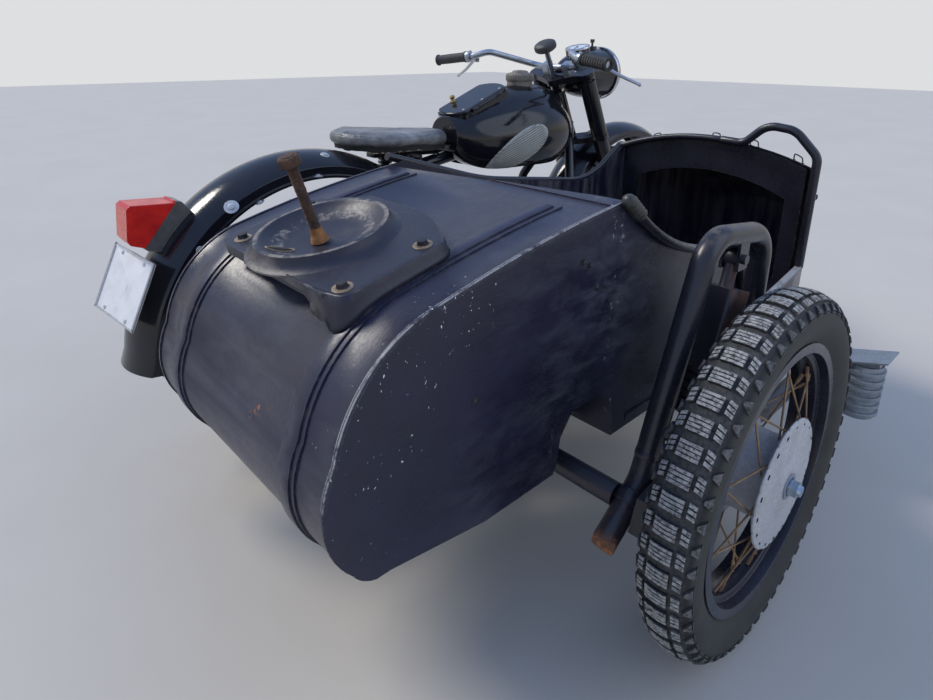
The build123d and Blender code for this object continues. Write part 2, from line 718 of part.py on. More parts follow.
def handlebar():
    """Bar in two clamps on the upper yoke, with the damper knob over the stem."""
    ends = [(bar_x + x, y, z) for x, y, z in bar_shape]
    points = [(x, -y, z) for x, y, z in ends] + ends[::-1]
    shapes = bent_tube(points, 50, bar_radius)
    top = steering(upper_yoke_height)
    rise = (Vector(bar_x, 0, bar_height) - top.origin).dot(axis_up)
    run = (Vector(bar_x, 0, bar_height) - top.origin).dot(top.x_dir)
    base = yoke_thickness / 2 + seat_gap
    brow = rise + bar_radius + 6
    for side in (1, -1):
        shapes += top * Pos(run, side * 44, (base + brow) / 2) * Box(32, 26, brow - base)
    start, end = stem_length - (upper_yoke_height - lower_yoke_height) / axis_up.Z, knob_lift
    stalk = Pos(0, 0, (start + end) / 2 + seat_gap) * Cylinder(9, end - start)
    knob = [Polyline((0, -12), (30, -12), (knob_radius, -5), (knob_radius, 5), (28, 13), (0, 17), close=True)]
    dome = revolve(Plane.XZ * make_face(Curve() + knob), axis=Axis.Z)
    return Compound(children=[shapes, top * (stalk + Pos(0, 0, end) * dome)])


def hand_controls():
    """Rubber grips on the bar's ends, each with its perch and a long lever that stands off it."""
    shapes = []
    (x0, y0, z0), (x1, y1, z1) = bar_shape[:2]
    for side in (1, -1):
        tip = Vector(bar_x + x0, side * y0, z0)
        root = Vector(bar_x + x1, side * y1, z1)
        along = (root - tip).normalized()
        bore = bar_radius + 0.1
        grip = rod(tip - along * 6, tip + along * grip_length, grip_radius)
        grip += rod(tip - along * 6, tip - along * 1, grip_radius + 3) + rod(
            tip + along * (grip_length - 6), tip + along * grip_length, grip_radius + 3)
        grip -= rod(tip - along * 0.2, tip + along * 200, bore)
        perch = tip + along * (grip_length + 12)
        lever = rod(perch - along * 7, perch + along * 8, bar_radius + 8)
        front = perch + Vector(40, 0, -8)
        lever += rod(perch + Vector(8, 0, 1), front, 9) + rod(front, front + Vector(10, side * 34, -8), 8)
        end = Vector(bar_x + lever_tip[0], side * lever_tip[1], lever_tip[2])
        lever += rod(front + Vector(8, side * 26, -7), end, 5.5)
        lever -= rod(perch - along * 30, perch + along * 30, bore)
        shapes += [grip, lever]
    return Compound(children=shapes)


def headlamp():
    """Drop-shaped lamp shell ahead of the fork legs, with its rim, its instrument and its key."""
    r, length = headlamp_radius, headlamp_length
    back = fork_x(lamp_height) + 12
    # Shares of the length and of the radius, from the back to the glass
    drop = [(0, 0), (0, 0.46), (0.05, 0.59), (0.14, 0.71), (0.26, 0.82), (0.4, 0.9), (0.56, 0.95),
            (0.9, 0.98), (0.9, 1.04), (0.98, 1.03), (0.99, 0.92), (1.02, 0.76), (1.05, 0.5), (1.07, 0.22),
            (1.075, 0)]
    shell = make_face(Polyline(*[(along * length, out * r) for along, out in drop], close=True))
    shape = Pos(back, 0, lamp_height) * Rot(-90, 0, 0) * revolve(Plane.XY * shell, axis=Axis.X)
    dial = Pos(back + 0.34 * length, 0, lamp_height + 0.86 * r) * Rot(0, -14, 0)
    shape += dial * Cylinder(44, 26) + dial * Pos(0, 0, 14) * Cylinder(40, 4)
    key = Pos(back + 0.72 * length, 0, lamp_height + r)
    shape += key * Cylinder(17, 14) + key * Pos(0, 0, 14) * Cylinder(4, 18)
    shape += key * Pos(0, 0, 26) * Box(20, 5, 12)
    reach = fork_shroud_radius / cos(radians(steering_rake)) + seat_gap
    for side in (1, -1):
        low, high = sorted((side * 72, side * 112))
        shape += block((fork_x(lamp_height - 12) + reach, low, lamp_height - 12),
                       (back + 0.45 * length, high, lamp_height + 12))
    return shape


def front_fender():
    """Front fender with a bracket to each fork leg and stays down to each slider."""
    shape = fender(front_centre, front_fender_radius, front_fender_half_width, 30, 24, 12, 162)
    reach = front_fender_radius - 44
    side_y = front_fender_half_width - fender_wall / 2
    for side in (1, -1):
        height = tyre_radius + 0.72 * front_fender_radius
        base = (fork_x(height), side * side_y, height)
        shape += rod(base, (base[0], side * (fork_half_spacing - fork_shroud_radius - seat_gap), base[2]), 9)
        y = front_fender_half_width + 4
        foot = (fork_x(stay_height), side * y, stay_height)
        for angle in (28, 152):
            shape += rod(polar(front_centre, reach, angle, side * (y - 3)), foot, 4)
        shape += rod(foot, (foot[0], side * (fork_half_spacing - fork_slider_radius - seat_gap), foot[2]), 7)
    return shape


# Sidecar body

def body_profile():
    """Outline of the body's box in side view, with the channel over the rear cross tube."""
    low, notch = body_bottom, notch_height
    back = [(-437, level(0.689)), (-480, level(0.496)), (body_rear, level(0.311)), (-462, level(0.127)),
            (-440, level(0.077)), (-405, level(0.059))]
    return [
        ThreePointArc(*deck_line), ThreePointArc(deck_line[2], back[0], back[1]),
        ThreePointArc(*back[1:4]), ThreePointArc(*back[3:6]),
        Line(back[5], (floor_rear, low)), Line((floor_rear, low), (notch_rear - 14, low)),
        Line((notch_rear - 14, low), (notch_rear, notch - 14)),
        Line((notch_rear, notch - 14), (notch_rear + 20, notch)),
        Line((notch_rear + 20, notch), (notch_front - 20, notch)),
        Line((notch_front - 20, notch), (notch_front, low)),
        Line((notch_front, low), (scuttle, low)), Line((scuttle, low), (scuttle, deck_height)),
        Line((scuttle, deck_height), (deck_front, deck_height))]


def nose_section(x, half, low, side_high, crown, inset):
    """Cross-section of the nose: flat floor and sides under an arched top."""
    middle = body_right + body_width / 2
    left, right = middle + half - inset, middle - half + inset
    bottom, shoulder, top = low + inset, side_high - inset, side_high + crown - inset
    wire = Curve() + [Line((right, bottom), (left, bottom)), Line((left, bottom), (left, shoulder)),
                      ThreePointArc((left, shoulder), (middle, top), (right, shoulder)),
                      Line((right, shoulder), (right, bottom))]
    return Plane(origin=(x, 0, 0), x_dir=(0, 1, 0), z_dir=(1, 0, 0)) * make_face(wire)


def nose_solid(inset):
    """Nose from the cockpit forward, its inside found with the same sections inset by the wall."""
    half = body_width / 2
    start = scuttle - 2 * inset
    end = scuttle + nose_length - inset
    sections = [
        # x, half width, bottom, height of the sides, crown above them
        (start, half, body_bottom, scuttle_side_height, scuttle_crown),
        (scuttle + 0.45 * nose_length, half - 38, body_bottom + 6, 738, 48),
        (scuttle + 0.8 * nose_length, half - 88, body_bottom + 34, 664, 40),
        (end, half - 138, body_bottom + 84, 572, 30)]
    faces = [nose_section(*row, inset) for row in sections]
    return loft(faces)


def side_path(points, radii, y):
    """A line in the plane of constant y through (x, z) corners, each rounded to its radius."""
    return FilletPolyline(*[(x, y, z) for x, z in points], radius=radii)


def wall_cut(points, radii, y, width):
    """Everything above a rounded line in side view, over a width to the right of y."""
    line = FilletPolyline(*points, radius=radii)
    top = 2 * deck_height
    first, last = points[0], points[-1]
    face = make_face(Curve() + [line, Line(last, (last[0], top)), Line((last[0], top), (first[0], top)),
                                Line((first[0], top), first)])
    place = Plane(origin=(0, y, 0), x_dir=(1, 0, 0), z_dir=(0, -1, 0))
    return extrude(place * face, amount=width)


def swage(y, width, rise, start, stop):
    """A raised band pressed into the wrapped sheet, between two distances forward."""
    face = offset(side_face(body_profile(), y + width / 2), amount=rise)
    reach = block((start, y - width, notch_height), (stop, y + width, 2 * deck_height))
    if start < floor_rear:
        reach += block((start, y - width, body_bottom + 27), (floor_rear, y + width, notch_height + 1))
    return extrude(face, amount=width) & reach


def sidecar_body():
    left = body_right + body_width
    box_face = side_face(body_profile(), left)
    outer = extrude(box_face, amount=body_width)
    for y in (body_right + swage_inset, left - swage_inset):
        outer += swage(y, 44, 3.0, body_rear - 20, deck_front - 84)
        outer += swage(y, 26, 6.0, body_rear - 20, deck_front - 96)
    across = Pos(deck_front - 226, body_right + body_width / 2 - 50, deck_height - 40) * Rot(0, -10, 0)
    outer += across * Box(22, 176, 12) & Pos(0, 0, 5) * extrude(box_face, amount=body_width)
    for y, side in ((body_right, -1), (left, 1)):
        outer += swage(y - side * 2.5, 5.0, 2.5, body_rear - 20, deck_front)
    strip = swage(body_right + body_width / 2, body_width, 3.0, deck_front - 36, deck_front)
    inner_face = offset(box_face, amount=-body_wall)
    inner = Pos(0, -body_wall, 0) * extrude(inner_face, amount=body_width - 2 * body_wall)
    shell = outer + strip + nose_solid(0.0)
    rim = [Polyline((notch_rear - 30, body_bottom + 14), (notch_rear - 22, notch_height + 10),
                    (notch_rear + 4, notch_height + 26), (notch_front - 8, notch_height + 26),
                    (notch_front + 30, notch_height - 20), (notch_front + 40, body_bottom + 14), close=True)]
    mouth = [Polyline((notch_rear - 16, body_bottom - 9), (notch_rear, notch_height - 14),
                      (notch_rear + 20, notch_height), (notch_front - 20, notch_height),
                      (notch_front + 1, body_bottom - 9), close=True)]
    shell += extrude(side_face(rim, body_right), amount=3)
    shell -= extrude(side_face(mouth, body_right), amount=4)
    shell += block((notch_front + 44, body_right - 3, body_bottom + 12), (700, body_right, body_bottom + 26))
    shell = shell - inner - nose_solid(body_wall)
    shell -= wall_cut(left_edge, left_radii, left + 1, 66)
    shell -= wall_cut(right_edge, right_radii, body_right + 62, 66)
    well = Plane.XY.offset(deck_height - 60) * make_face(Polyline(
        (deck_front, body_right + 4), (scuttle, body_right + 4), (scuttle, left - body_wall),
        (deck_front - deck_slant, left - body_wall), close=True))
    reach = rim_tube_radius + seat_gap
    corner = block((scuttle - 2 * reach, left - 5, scuttle_side_height - reach),
                   (scuttle, left + 1, scuttle_side_height + reach))
    return shell - extrude(well, amount=120) - corner


def cockpit_rim():
    """Round beading along both sides and the scuttle's edge, and the flanged frame inside it."""
    reach = rim_tube_radius + seat_gap
    left, right = body_right + body_width + reach, body_right - reach
    arch_x, middle = scuttle - reach, body_right + body_width / 2
    shapes = []
    for points, radii, y in ((left_edge, left_radii, left), (right_edge, right_radii, right)):
        path = side_path([points[0], *points[1:-1], (scuttle - reach, points[-1][1])], radii, y)
        shapes.append(sweep(Plane(origin=path @ 0, z_dir=path % 0) * Circle(rim_tube_radius), path=path))
    side = scuttle_side_height
    arch = ThreePointArc((arch_x, left - reach - 8, side), (arch_x, middle, side + scuttle_crown),
                         (arch_x, right + reach + 8, side))
    start, stop = arch @ 0, arch @ handle_share
    arc = ThreePointArc(start, arch @ (handle_share / 2), stop)
    crown = sweep(Plane(origin=start, z_dir=arc % 0) * Circle(rim_tube_radius), path=arc)
    corner = rod((arch_x, left, side), (arch_x, left - reach - 8, side), rim_tube_radius)
    frame = extrude(nose_section(scuttle + seat_gap, body_width / 2 - 8, body_bottom, side, scuttle_crown,
                                 body_wall + flange_relief), amount=flange_wall)
    gap = extrude(nose_section(scuttle - 1, body_width / 2 - 8, body_bottom - 60, side - 46, scuttle_crown,
                               body_wall + flange_width), amount=flange_wall + 4)
    return Compound(children=[shapes[0] + corner + crown, shapes[1], frame - gap])


def seat_cushion():
    left = body_right + body_width
    return block((cushion_rear, body_right + 25, body_bottom + body_wall + seat_gap), (690, left - 25, 498))


def seat_backrest():
    left = body_right + body_width
    foot, base = cushion_rear - seat_gap, body_bottom + body_wall + seat_gap
    top = deck_height - 64
    face = [Polyline((foot - 66, base), (foot, base), (foot - 40, top), (foot - 106, top), close=True)]
    return extrude(side_face(face, left - 30), amount=body_width - 60)


def carrier_outline():
    """Plan of the carrier plate: a straight rear edge and a front that narrows to the dish."""
    half, deep = carrier_width / 2, carrier_depth / 2
    return make_face(Polyline(
        (-deep, half), (-deep, -half), (-deep + 20, -half - 34), (deep - 62, -half - 34),
        (deep - 20, -half + 30), (deep, -half + 96), (deep, half - 90), (deep - 60, half), close=True))


def carrier_plate():
    """Spare-wheel carrier: a plate on four feet, pressed up to a round ridge with a bowl inside it."""
    wall, ridge, r = 3.0, dish_height, dish_radius
    plate = extrude(fillet(carrier_outline().vertices(), radius=14), amount=wall)
    lip = Pos(-carrier_depth / 2 + wall / 2, -10, -7) * Box(wall, carrier_width - 20, 18)
    outline = [
        Line((0, -2 - wall), (0.5 * r, 2 - wall)), Line((0.5 * r, 2 - wall), (0.86 * r, 0.7 * ridge - wall)),
        Line((0.86 * r, 0.7 * ridge - wall), (0.98 * r, ridge - wall)),
        Line((0.98 * r, ridge - wall), (1.2 * r, 0)), Line((1.2 * r, 0), (1.2 * r, wall)),
        ThreePointArc((1.2 * r, wall), (1.1 * r, 0.45 * ridge), (1.03 * r, ridge)),
        Line((1.03 * r, ridge), (0.96 * r, ridge)),
        ThreePointArc((0.96 * r, ridge), (0.74 * r, 0.36 * ridge), (0.45 * r, 2)),
        Line((0.45 * r, 2), (0, -2)), Line((0, -2), (0, -2 - wall))]
    dish = dish_shift * revolve(Plane.XZ * make_face(Curve() + outline), axis=Axis.Z)
    shape = plate - dish_shift * Cylinder(1.15 * r, 60) + lip + dish
    shape = carrier_place * shape
    deck = extrude(side_face(body_profile(), body_right + body_width), amount=body_width)
    ridges = swage(body_right + swage_inset, 44, 6.0, body_rear, deck_front)
    rear, front, half = -carrier_depth / 2 + 26, carrier_depth / 2 - 84, carrier_width / 2
    for x, y in ((rear, -half - 12), (front, -half - 12), (rear, half - 34), (front, half - 22)):
        foot = Pos(x, y, -24) * Cylinder(11, 48)
        shape += (carrier_place * foot) - Pos(0, 0, seat_gap) * (deck + ridges)
        shape += carrier_place * Pos(x, y, wall + 2) * Cylinder(8, 5)
    return shape


def carrier_bolt():
    """Long hex-headed bolt that leans in the middle of the dish."""
    lean = 6.0
    lift = seat_gap + carrier_bolt_radius * sin(radians(lean))
    place = carrier_place * Pos(-32, -8, lift) * Rot(0, -lean, 0)
    bolt = Pos(0, 0, 66) * Cylinder(carrier_bolt_radius, 132)
    bolt += Pos(0, 0, 9) * Cylinder(carrier_bolt_radius + 5, 8)
    head = Pos(0, 0, 130) * extrude(RegularPolygon(17, 6), amount=15)
    return place * (bolt + head)


# Sidecar chassis

hoop_y = -track + hoop_offset
mount_ys = (body_right + 90, body_right + body_width - 90)


def sidecar_frame():
    """Chassis tube: rear cross tube, inner tube and front cross tube, with two gusseted brackets."""
    outer = hoop_y + chassis_tube_radius + seat_gap
    x, z = cross_tube_x, cross_tube_height
    shape = bent_tube([(x, outer, z), (x, inner_tube_y, z), (150, inner_tube_y, chassis_low),
                       (front_cross_x, inner_tube_y, chassis_low), (front_cross_x, outer, chassis_low)],
                      70, chassis_tube_radius)
    gusset = [Polyline((x - 12, z + 8), (x + 26, bracket_top), (x + 86, bracket_top), (x + 96, z + 34),
                       (x + 60, z - 14), (x, z - 16), close=True)]
    for y in mount_ys:
        shape += extrude(side_face(gusset, y + 4), amount=8)
        shape += block((x + 24, y - 28, bracket_top - 6), (x + 90, y + 28, bracket_top))
    return shape


def wheel_hoop():
    """Bent tube over the wheel arm: a cut tail behind, the outer side tube in front."""
    points = [(-62, hoop_y, 300.4), (44, hoop_y, 376.4), (188, hoop_y, 776), (hoop_front, hoop_y, 746),
              (hoop_front, hoop_y, 330), (560, hoop_y, chassis_low),
              (front_cross_x + 30, hoop_y, chassis_low)]
    shape = bent_tube(points, 62, chassis_tube_radius)
    shape -= Pos(-74, hoop_y, 292) * Rot(0, -70, 0) * Box(60, 60, 24)
    x, z = shock_top
    for side in (1, -1):
        near, far = shock_eye_half + seat_gap, shock_eye_half + 6
        low, high = sorted((hoop_y + side * near, hoop_y + side * far))
        shape += block((x - 18, low, z - 20), (x + 18, high, z + 36))
    shape += rod((x, hoop_y - 24, z), (x, hoop_y + 24, z), shock_pin_radius)
    x, z = arm_pin_place
    return shape + rod((x, hoop_y, z), (x, hoop_y - chassis_tube_radius - 10, z), 13)


def sidecar_struts():
    """Four ties from the sidecar chassis to the motorcycle frame."""
    side = -(frame_half_width + frame_tube_radius + seat_gap)
    rise = Vector(0, inner_tube_y + 240, chassis_low - cradle_height).normalized()
    reach = chassis_tube_radius + seat_gap
    foot = (inner_tube_y - rise.Y * reach, chassis_low - rise.Z * reach)
    return Compound(children=[
        bent_tube([(870, side, cradle_height), (870, -240, cradle_height), (870, *foot)], 26, 12),
        bent_tube([(380, side, cradle_height), (380, -240, cradle_height), (380, *foot)], 26, 12),
        tie((880, inner_tube_y, chassis_low), (1004, -frame_half_width, 560), 13, 27.7, 45.7),
        tie((80, inner_tube_y, 319.5), (262, -frame_half_width, 696), 13, 22, 28.9)])


def wheel_arm():
    """Forged arm from the cross tube's end to the wheel axle."""
    low, high = -track + tyre_half_width + 7, hoop_y - chassis_tube_radius - 4
    x, z = cross_tube_x, cross_tube_height
    outline = [Polyline((x - 34, z - 26), (x - 16, z + 30), (shock_foot[0] - 30, shock_foot[1] + 20),
                        (shock_foot[0] + 26, shock_foot[1] + 16), (wheel_lead + 34, tyre_radius + 22),
                        (wheel_lead + 30, tyre_radius - 27), (wheel_lead - 20, tyre_radius - 33),
                        (x + 10, z - 40), close=True)]
    arm = extrude(side_face(outline, high), amount=high - low)
    pivot = rod((x, high - 1, z), (x, hoop_y - chassis_tube_radius - seat_gap, z), 15)
    spacer = rod((wheel_lead, low, tyre_radius), (wheel_lead, low - 6, tyre_radius), 16)
    end = -track - hub_half_width - hub_cover_width - 22
    x, z = shock_foot
    pin = rod((x, high - 1, z), (x, hoop_y + 20, z), shock_pin_radius)
    return arm + pivot + spacer + axle(side_centre, low + 1, end, -1) + pin


def wheel_shock():
    """Shock absorber between the arm's pin and the hoop's pin: box shroud over a ribbed boot."""
    y = hoop_y
    foot, top = Vector(shock_foot[0], y, shock_foot[1]), Vector(shock_top[0], y, shock_top[1])
    along = (top - foot).normalized()
    span = (top - foot).length
    shape = rod(foot + along * 12, foot + along * 90, 14) + rod(top - along * 64, top, 12)
    for end in (foot, top):
        shape += rod(end + Vector(0, -shock_eye_half, 0), end + Vector(0, shock_eye_half, 0), 17)
    for number in range(7):
        start = foot + along * (52 + number * 16)
        shape += rod(start, start + along * 9, 34) + rod(start + along * 8, start + along * 17, 27)
    plane = Plane(origin=foot + along * (span - 205), x_dir=(0, 1, 0), z_dir=along)
    box = fillet(Rectangle(66, 74).vertices(), radius=12)
    shape += plane * extrude(box, amount=150)
    for end in (foot, top):
        shape -= rod(end + Vector(0, -30, 0), end + Vector(0, 30, 0), shock_pin_radius + 0.1)
    return shape


def body_mounts():
    """Rubber blocks between the chassis and the body's floor."""
    low = chassis_low + chassis_tube_radius + seat_gap
    rear = bracket_top + seat_gap
    shape = []
    for y in mount_ys:
        shape.append(block((front_cross_x - 24, y - 30, low),
                           (front_cross_x + 24, y + 30, body_bottom - seat_gap)))
        shape.append(block((cross_tube_x + 28, y - 24, rear),
                           (cross_tube_x + 84, y + 24, notch_height - seat_gap)))
    return Compound(children=shape)


def entry_step():
    """Step ahead of the sidecar wheel: a tilted plate on a round ribbed casing, on a side arm."""
    x, y = step_place
    casing = rod((x, y, 196), (x, y, 336), 40)
    for number in range(6):
        casing += rod((x, y, 204 + number * 22), (x, y, 214 + number * 22), 46)
    plate = Pos(x, y, 350) * Rot(-16, 0, 0) * (Box(96, 112, 4) + Pos(0, 0, -8) * Box(70, 70, 16))
    arm = rod((x, y + 20, 292), (x, hoop_y - chassis_tube_radius - seat_gap, chassis_low), 12)
    return plate + casing + arm


def grab_handle():
    """Grab handle that springs from the scuttle's beading, down its post to the entry sill."""
    x, right = scuttle - handle_radius - seat_gap, body_right - handle_radius - seat_gap
    left, side = body_right + body_width - 8, scuttle_side_height
    middle = body_right + body_width / 2
    arch = ThreePointArc((x, left, side), (x, middle, side + scuttle_crown), (x, body_right + 8, side))
    root, along = arch @ handle_share, arch % handle_share
    root += along * seat_gap
    points = [root, root + along * 62, (x, root.Y - 118, side + 100), (x, right + 62, side + 92),
              (x, right, side + 30), (x, right, right_edge[-1][1] + rim_tube_radius + seat_gap)]
    path = FilletPolyline(*points, radius=[40, 60, 60, 40])
    return sweep(Plane(origin=path @ 0, z_dir=path % 0) * Circle(handle_radius), path=path)


def toolbox_lid():
    """Lid of the tool recess with a rolled edge and a knob, hinged along its right side."""
    slab = Pos(0, 0, seat_gap) * extrude(lid_outline(0), amount=lid_thickness)
    shape = fillet(slab.edges().group_by(Axis.Z)[-1], radius=5)
    shape += Pos(-40, lid_width / 2 - 16, lid_thickness) * (Cylinder(9, 6) + Pos(0, 0, 8) * Cylinder(5, 12))
    shape += lid_hinge * (Rot(0, 90, 0) * Cylinder(hinge_radius, 84) + Pos(0, 6, 1) * Box(84, 12, 4))
    return lid_place * (shape - lid_hinge * Rot(0, 90, 0) * Cylinder(2.05, 160))


# Assembly

pieces = {}
pieces.update(wheel("rear", rear_centre, 1))
pieces.update(wheel("front", front_centre, 1))
pieces.update(wheel("sidecar", side_centre, -1))
pieces.update({
    "main_frame": main_frame(), "engine_block": engine_block(),
    "cylinder_left": cylinder(1), "cylinder_right": cylinder(-1), "exhaust": exhaust(),
    "final_drive": final_drive(), "rear_suspension": rear_suspension(), "fuel_tank": fuel_tank(),
    "filler_cap": filler_cap(), "knee_pads": knee_pads(), "saddle": saddle(),
    "saddle_springs": saddle_springs(), "rear_fender": rear_fender(),
    "tail_lamp": tail_lamp(), "number_plate": number_plate(), "foot_pegs": foot_pegs(),
    "front_fork": front_fork(), "handlebar": handlebar(), "hand_controls": hand_controls(),
    "headlamp": headlamp(), "front_fender": front_fender(),
    "sidecar_body": sidecar_body(), "cockpit_rim": cockpit_rim(), "grab_handle": grab_handle(),
    "seat_cushion": seat_cushion(), "seat_backrest": seat_backrest(),
    "carrier_plate": carrier_plate(), "carrier_bolt": carrier_bolt(),
    "sidecar_frame": sidecar_frame(), "wheel_hoop": wheel_hoop(), "sidecar_struts": sidecar_struts(),
    "wheel_arm": wheel_arm(), "wheel_shock": wheel_shock(), "body_mounts": body_mounts(),
    "entry_step": entry_step(), "toolbox_lid": toolbox_lid(),
})

boxes = [shape.bounding_box() for shape in pieces.values()]
low = [min(getattr(box.min, axis) for box in boxes) for axis in "XYZ"]
high = [max(getattr(box.max, axis) for box in boxes) for axis in "XYZ"]
shift = Pos(-(low[0] + high[0]) / 2, -(low[1] + high[1]) / 2, -low[2])
print("shift", shift.position, "low", low, "high", high)
os.makedirs("parts", exist_ok=True)
for name, shape in pieces.items():
    export_step(shift * shape, f"parts/{name}.step")
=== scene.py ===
"""Looks of the sidecar motorcycle: a material for each CAD node, and modelled tyres, seats and fittings."""
import math

import bmesh
import bpy
from mathutils import Matrix, Quaternion, Vector
from mathutils.bvhtree import BVHTree
from mathutils.noise import noise as wander


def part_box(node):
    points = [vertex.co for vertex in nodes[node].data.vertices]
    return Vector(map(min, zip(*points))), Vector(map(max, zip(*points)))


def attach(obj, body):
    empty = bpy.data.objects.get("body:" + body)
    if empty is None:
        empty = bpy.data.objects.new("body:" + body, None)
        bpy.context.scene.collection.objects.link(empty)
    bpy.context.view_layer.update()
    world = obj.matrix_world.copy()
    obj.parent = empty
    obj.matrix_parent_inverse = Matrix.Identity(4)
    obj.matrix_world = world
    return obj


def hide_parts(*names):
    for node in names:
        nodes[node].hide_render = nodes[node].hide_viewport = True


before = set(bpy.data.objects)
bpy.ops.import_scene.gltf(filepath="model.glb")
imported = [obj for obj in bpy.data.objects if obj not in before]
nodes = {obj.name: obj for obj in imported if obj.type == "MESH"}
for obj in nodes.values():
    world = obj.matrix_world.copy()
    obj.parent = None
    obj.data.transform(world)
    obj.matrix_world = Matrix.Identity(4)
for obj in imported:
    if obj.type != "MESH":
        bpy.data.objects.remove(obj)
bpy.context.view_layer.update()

# The design's own origin: the ground under the rear axle, in the machine's middle plane
rear_low, rear_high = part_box("rear_tyre")
home = Vector(((rear_low.x + rear_high.x) / 2, (rear_low.y + rear_high.y) / 2, 0))


def at(x, y, z):
    """The place of a design point given in millimetres."""
    return home + Vector((x, y, z)) / 1000


def spot(matrix, x, y, z):
    """A point in millimetres of a place's own frame, in metres of the row frame."""
    return matrix @ (Vector((x, y, z)) / 1000)


# Camera: where the photograph was taken from, in design millimetres and degrees
camera_place = at(-800, -1468, 1078)
camera_yaw = 47.47
camera_pitch = -17.35
camera_roll = 0.28
image_width, image_height = 933, 700
focal_pixels = 626.6
principal_right, principal_up = -13.0, 107.0
sensor = 36.0

# Places on the outfit, in design millimetres
axle_height = 345
sidecar_axle = (260, -1130)
body_middle = -635
body_edge = -925
hoop_side = -1022
rake = math.radians(27)
pad_tilt = math.radians(27)
pad_middle = (715, 768)

# Spare-wheel carrier: its plate's own frame, on the sloping deck
carrier_slope = math.atan2(46, 210)
carrier = Matrix.Translation(at(-292, body_middle, 795)) @ Matrix.Rotation(-carrier_slope, 4, "Y")
dish_middle = spot(carrier, -20, 0, 22)

# Wheels: centre and outer side; the rest in millimetres
wheels = {"rear": (at(0, 0, axle_height), 1), "front": (at(1450, 0, axle_height), 1),
          "sidecar": (at(*sidecar_axle, axle_height), -1)}
rim_well = 226.0
tyre_size = 345.0  # outside radius
tread_pitches = 54
rib_gap = 1.2

up = Vector((0, 0, 1))


def camera_turn():
    yaw, pitch = math.radians(camera_yaw), math.radians(camera_pitch)
    look = Vector((math.cos(yaw) * math.cos(pitch), math.sin(yaw) * math.cos(pitch), math.sin(pitch)))
    return look.to_track_quat("-Z", "Y") @ Quaternion((0, 0, 1), math.radians(camera_roll))


def sight(across, down):
    """Direction from the camera through a pixel of the photograph."""
    right = across - image_width / 2 - principal_right
    rise = image_height / 2 - principal_up - down
    return (camera_turn() @ Vector((right, rise, -focal_pixels))).normalized()


trees = {}


def tree(node):
    if node not in trees:
        mesh = nodes[node].data
        trees[node] = BVHTree.FromPolygons([v.co for v in mesh.vertices],
                                           [tuple(p.vertices) for p in mesh.polygons])
    return trees[node]


def hit(node, start, along):
    """Where a ray meets a CAD node: the point, and the surface's normal turned against the ray."""
    point, normal, _, _ = tree(node).ray_cast(start, Vector(along).normalized())
    if point is None:
        point, normal, _, _ = tree(node).find_nearest(start + Vector(along).normalized())
    return point, (normal if normal.dot(Vector(along)) < 0 else -normal)


def seen(node, across, down):
    """The point of a CAD node that the photograph shows at a pixel."""
    return hit(node, camera_place, sight(across, down))


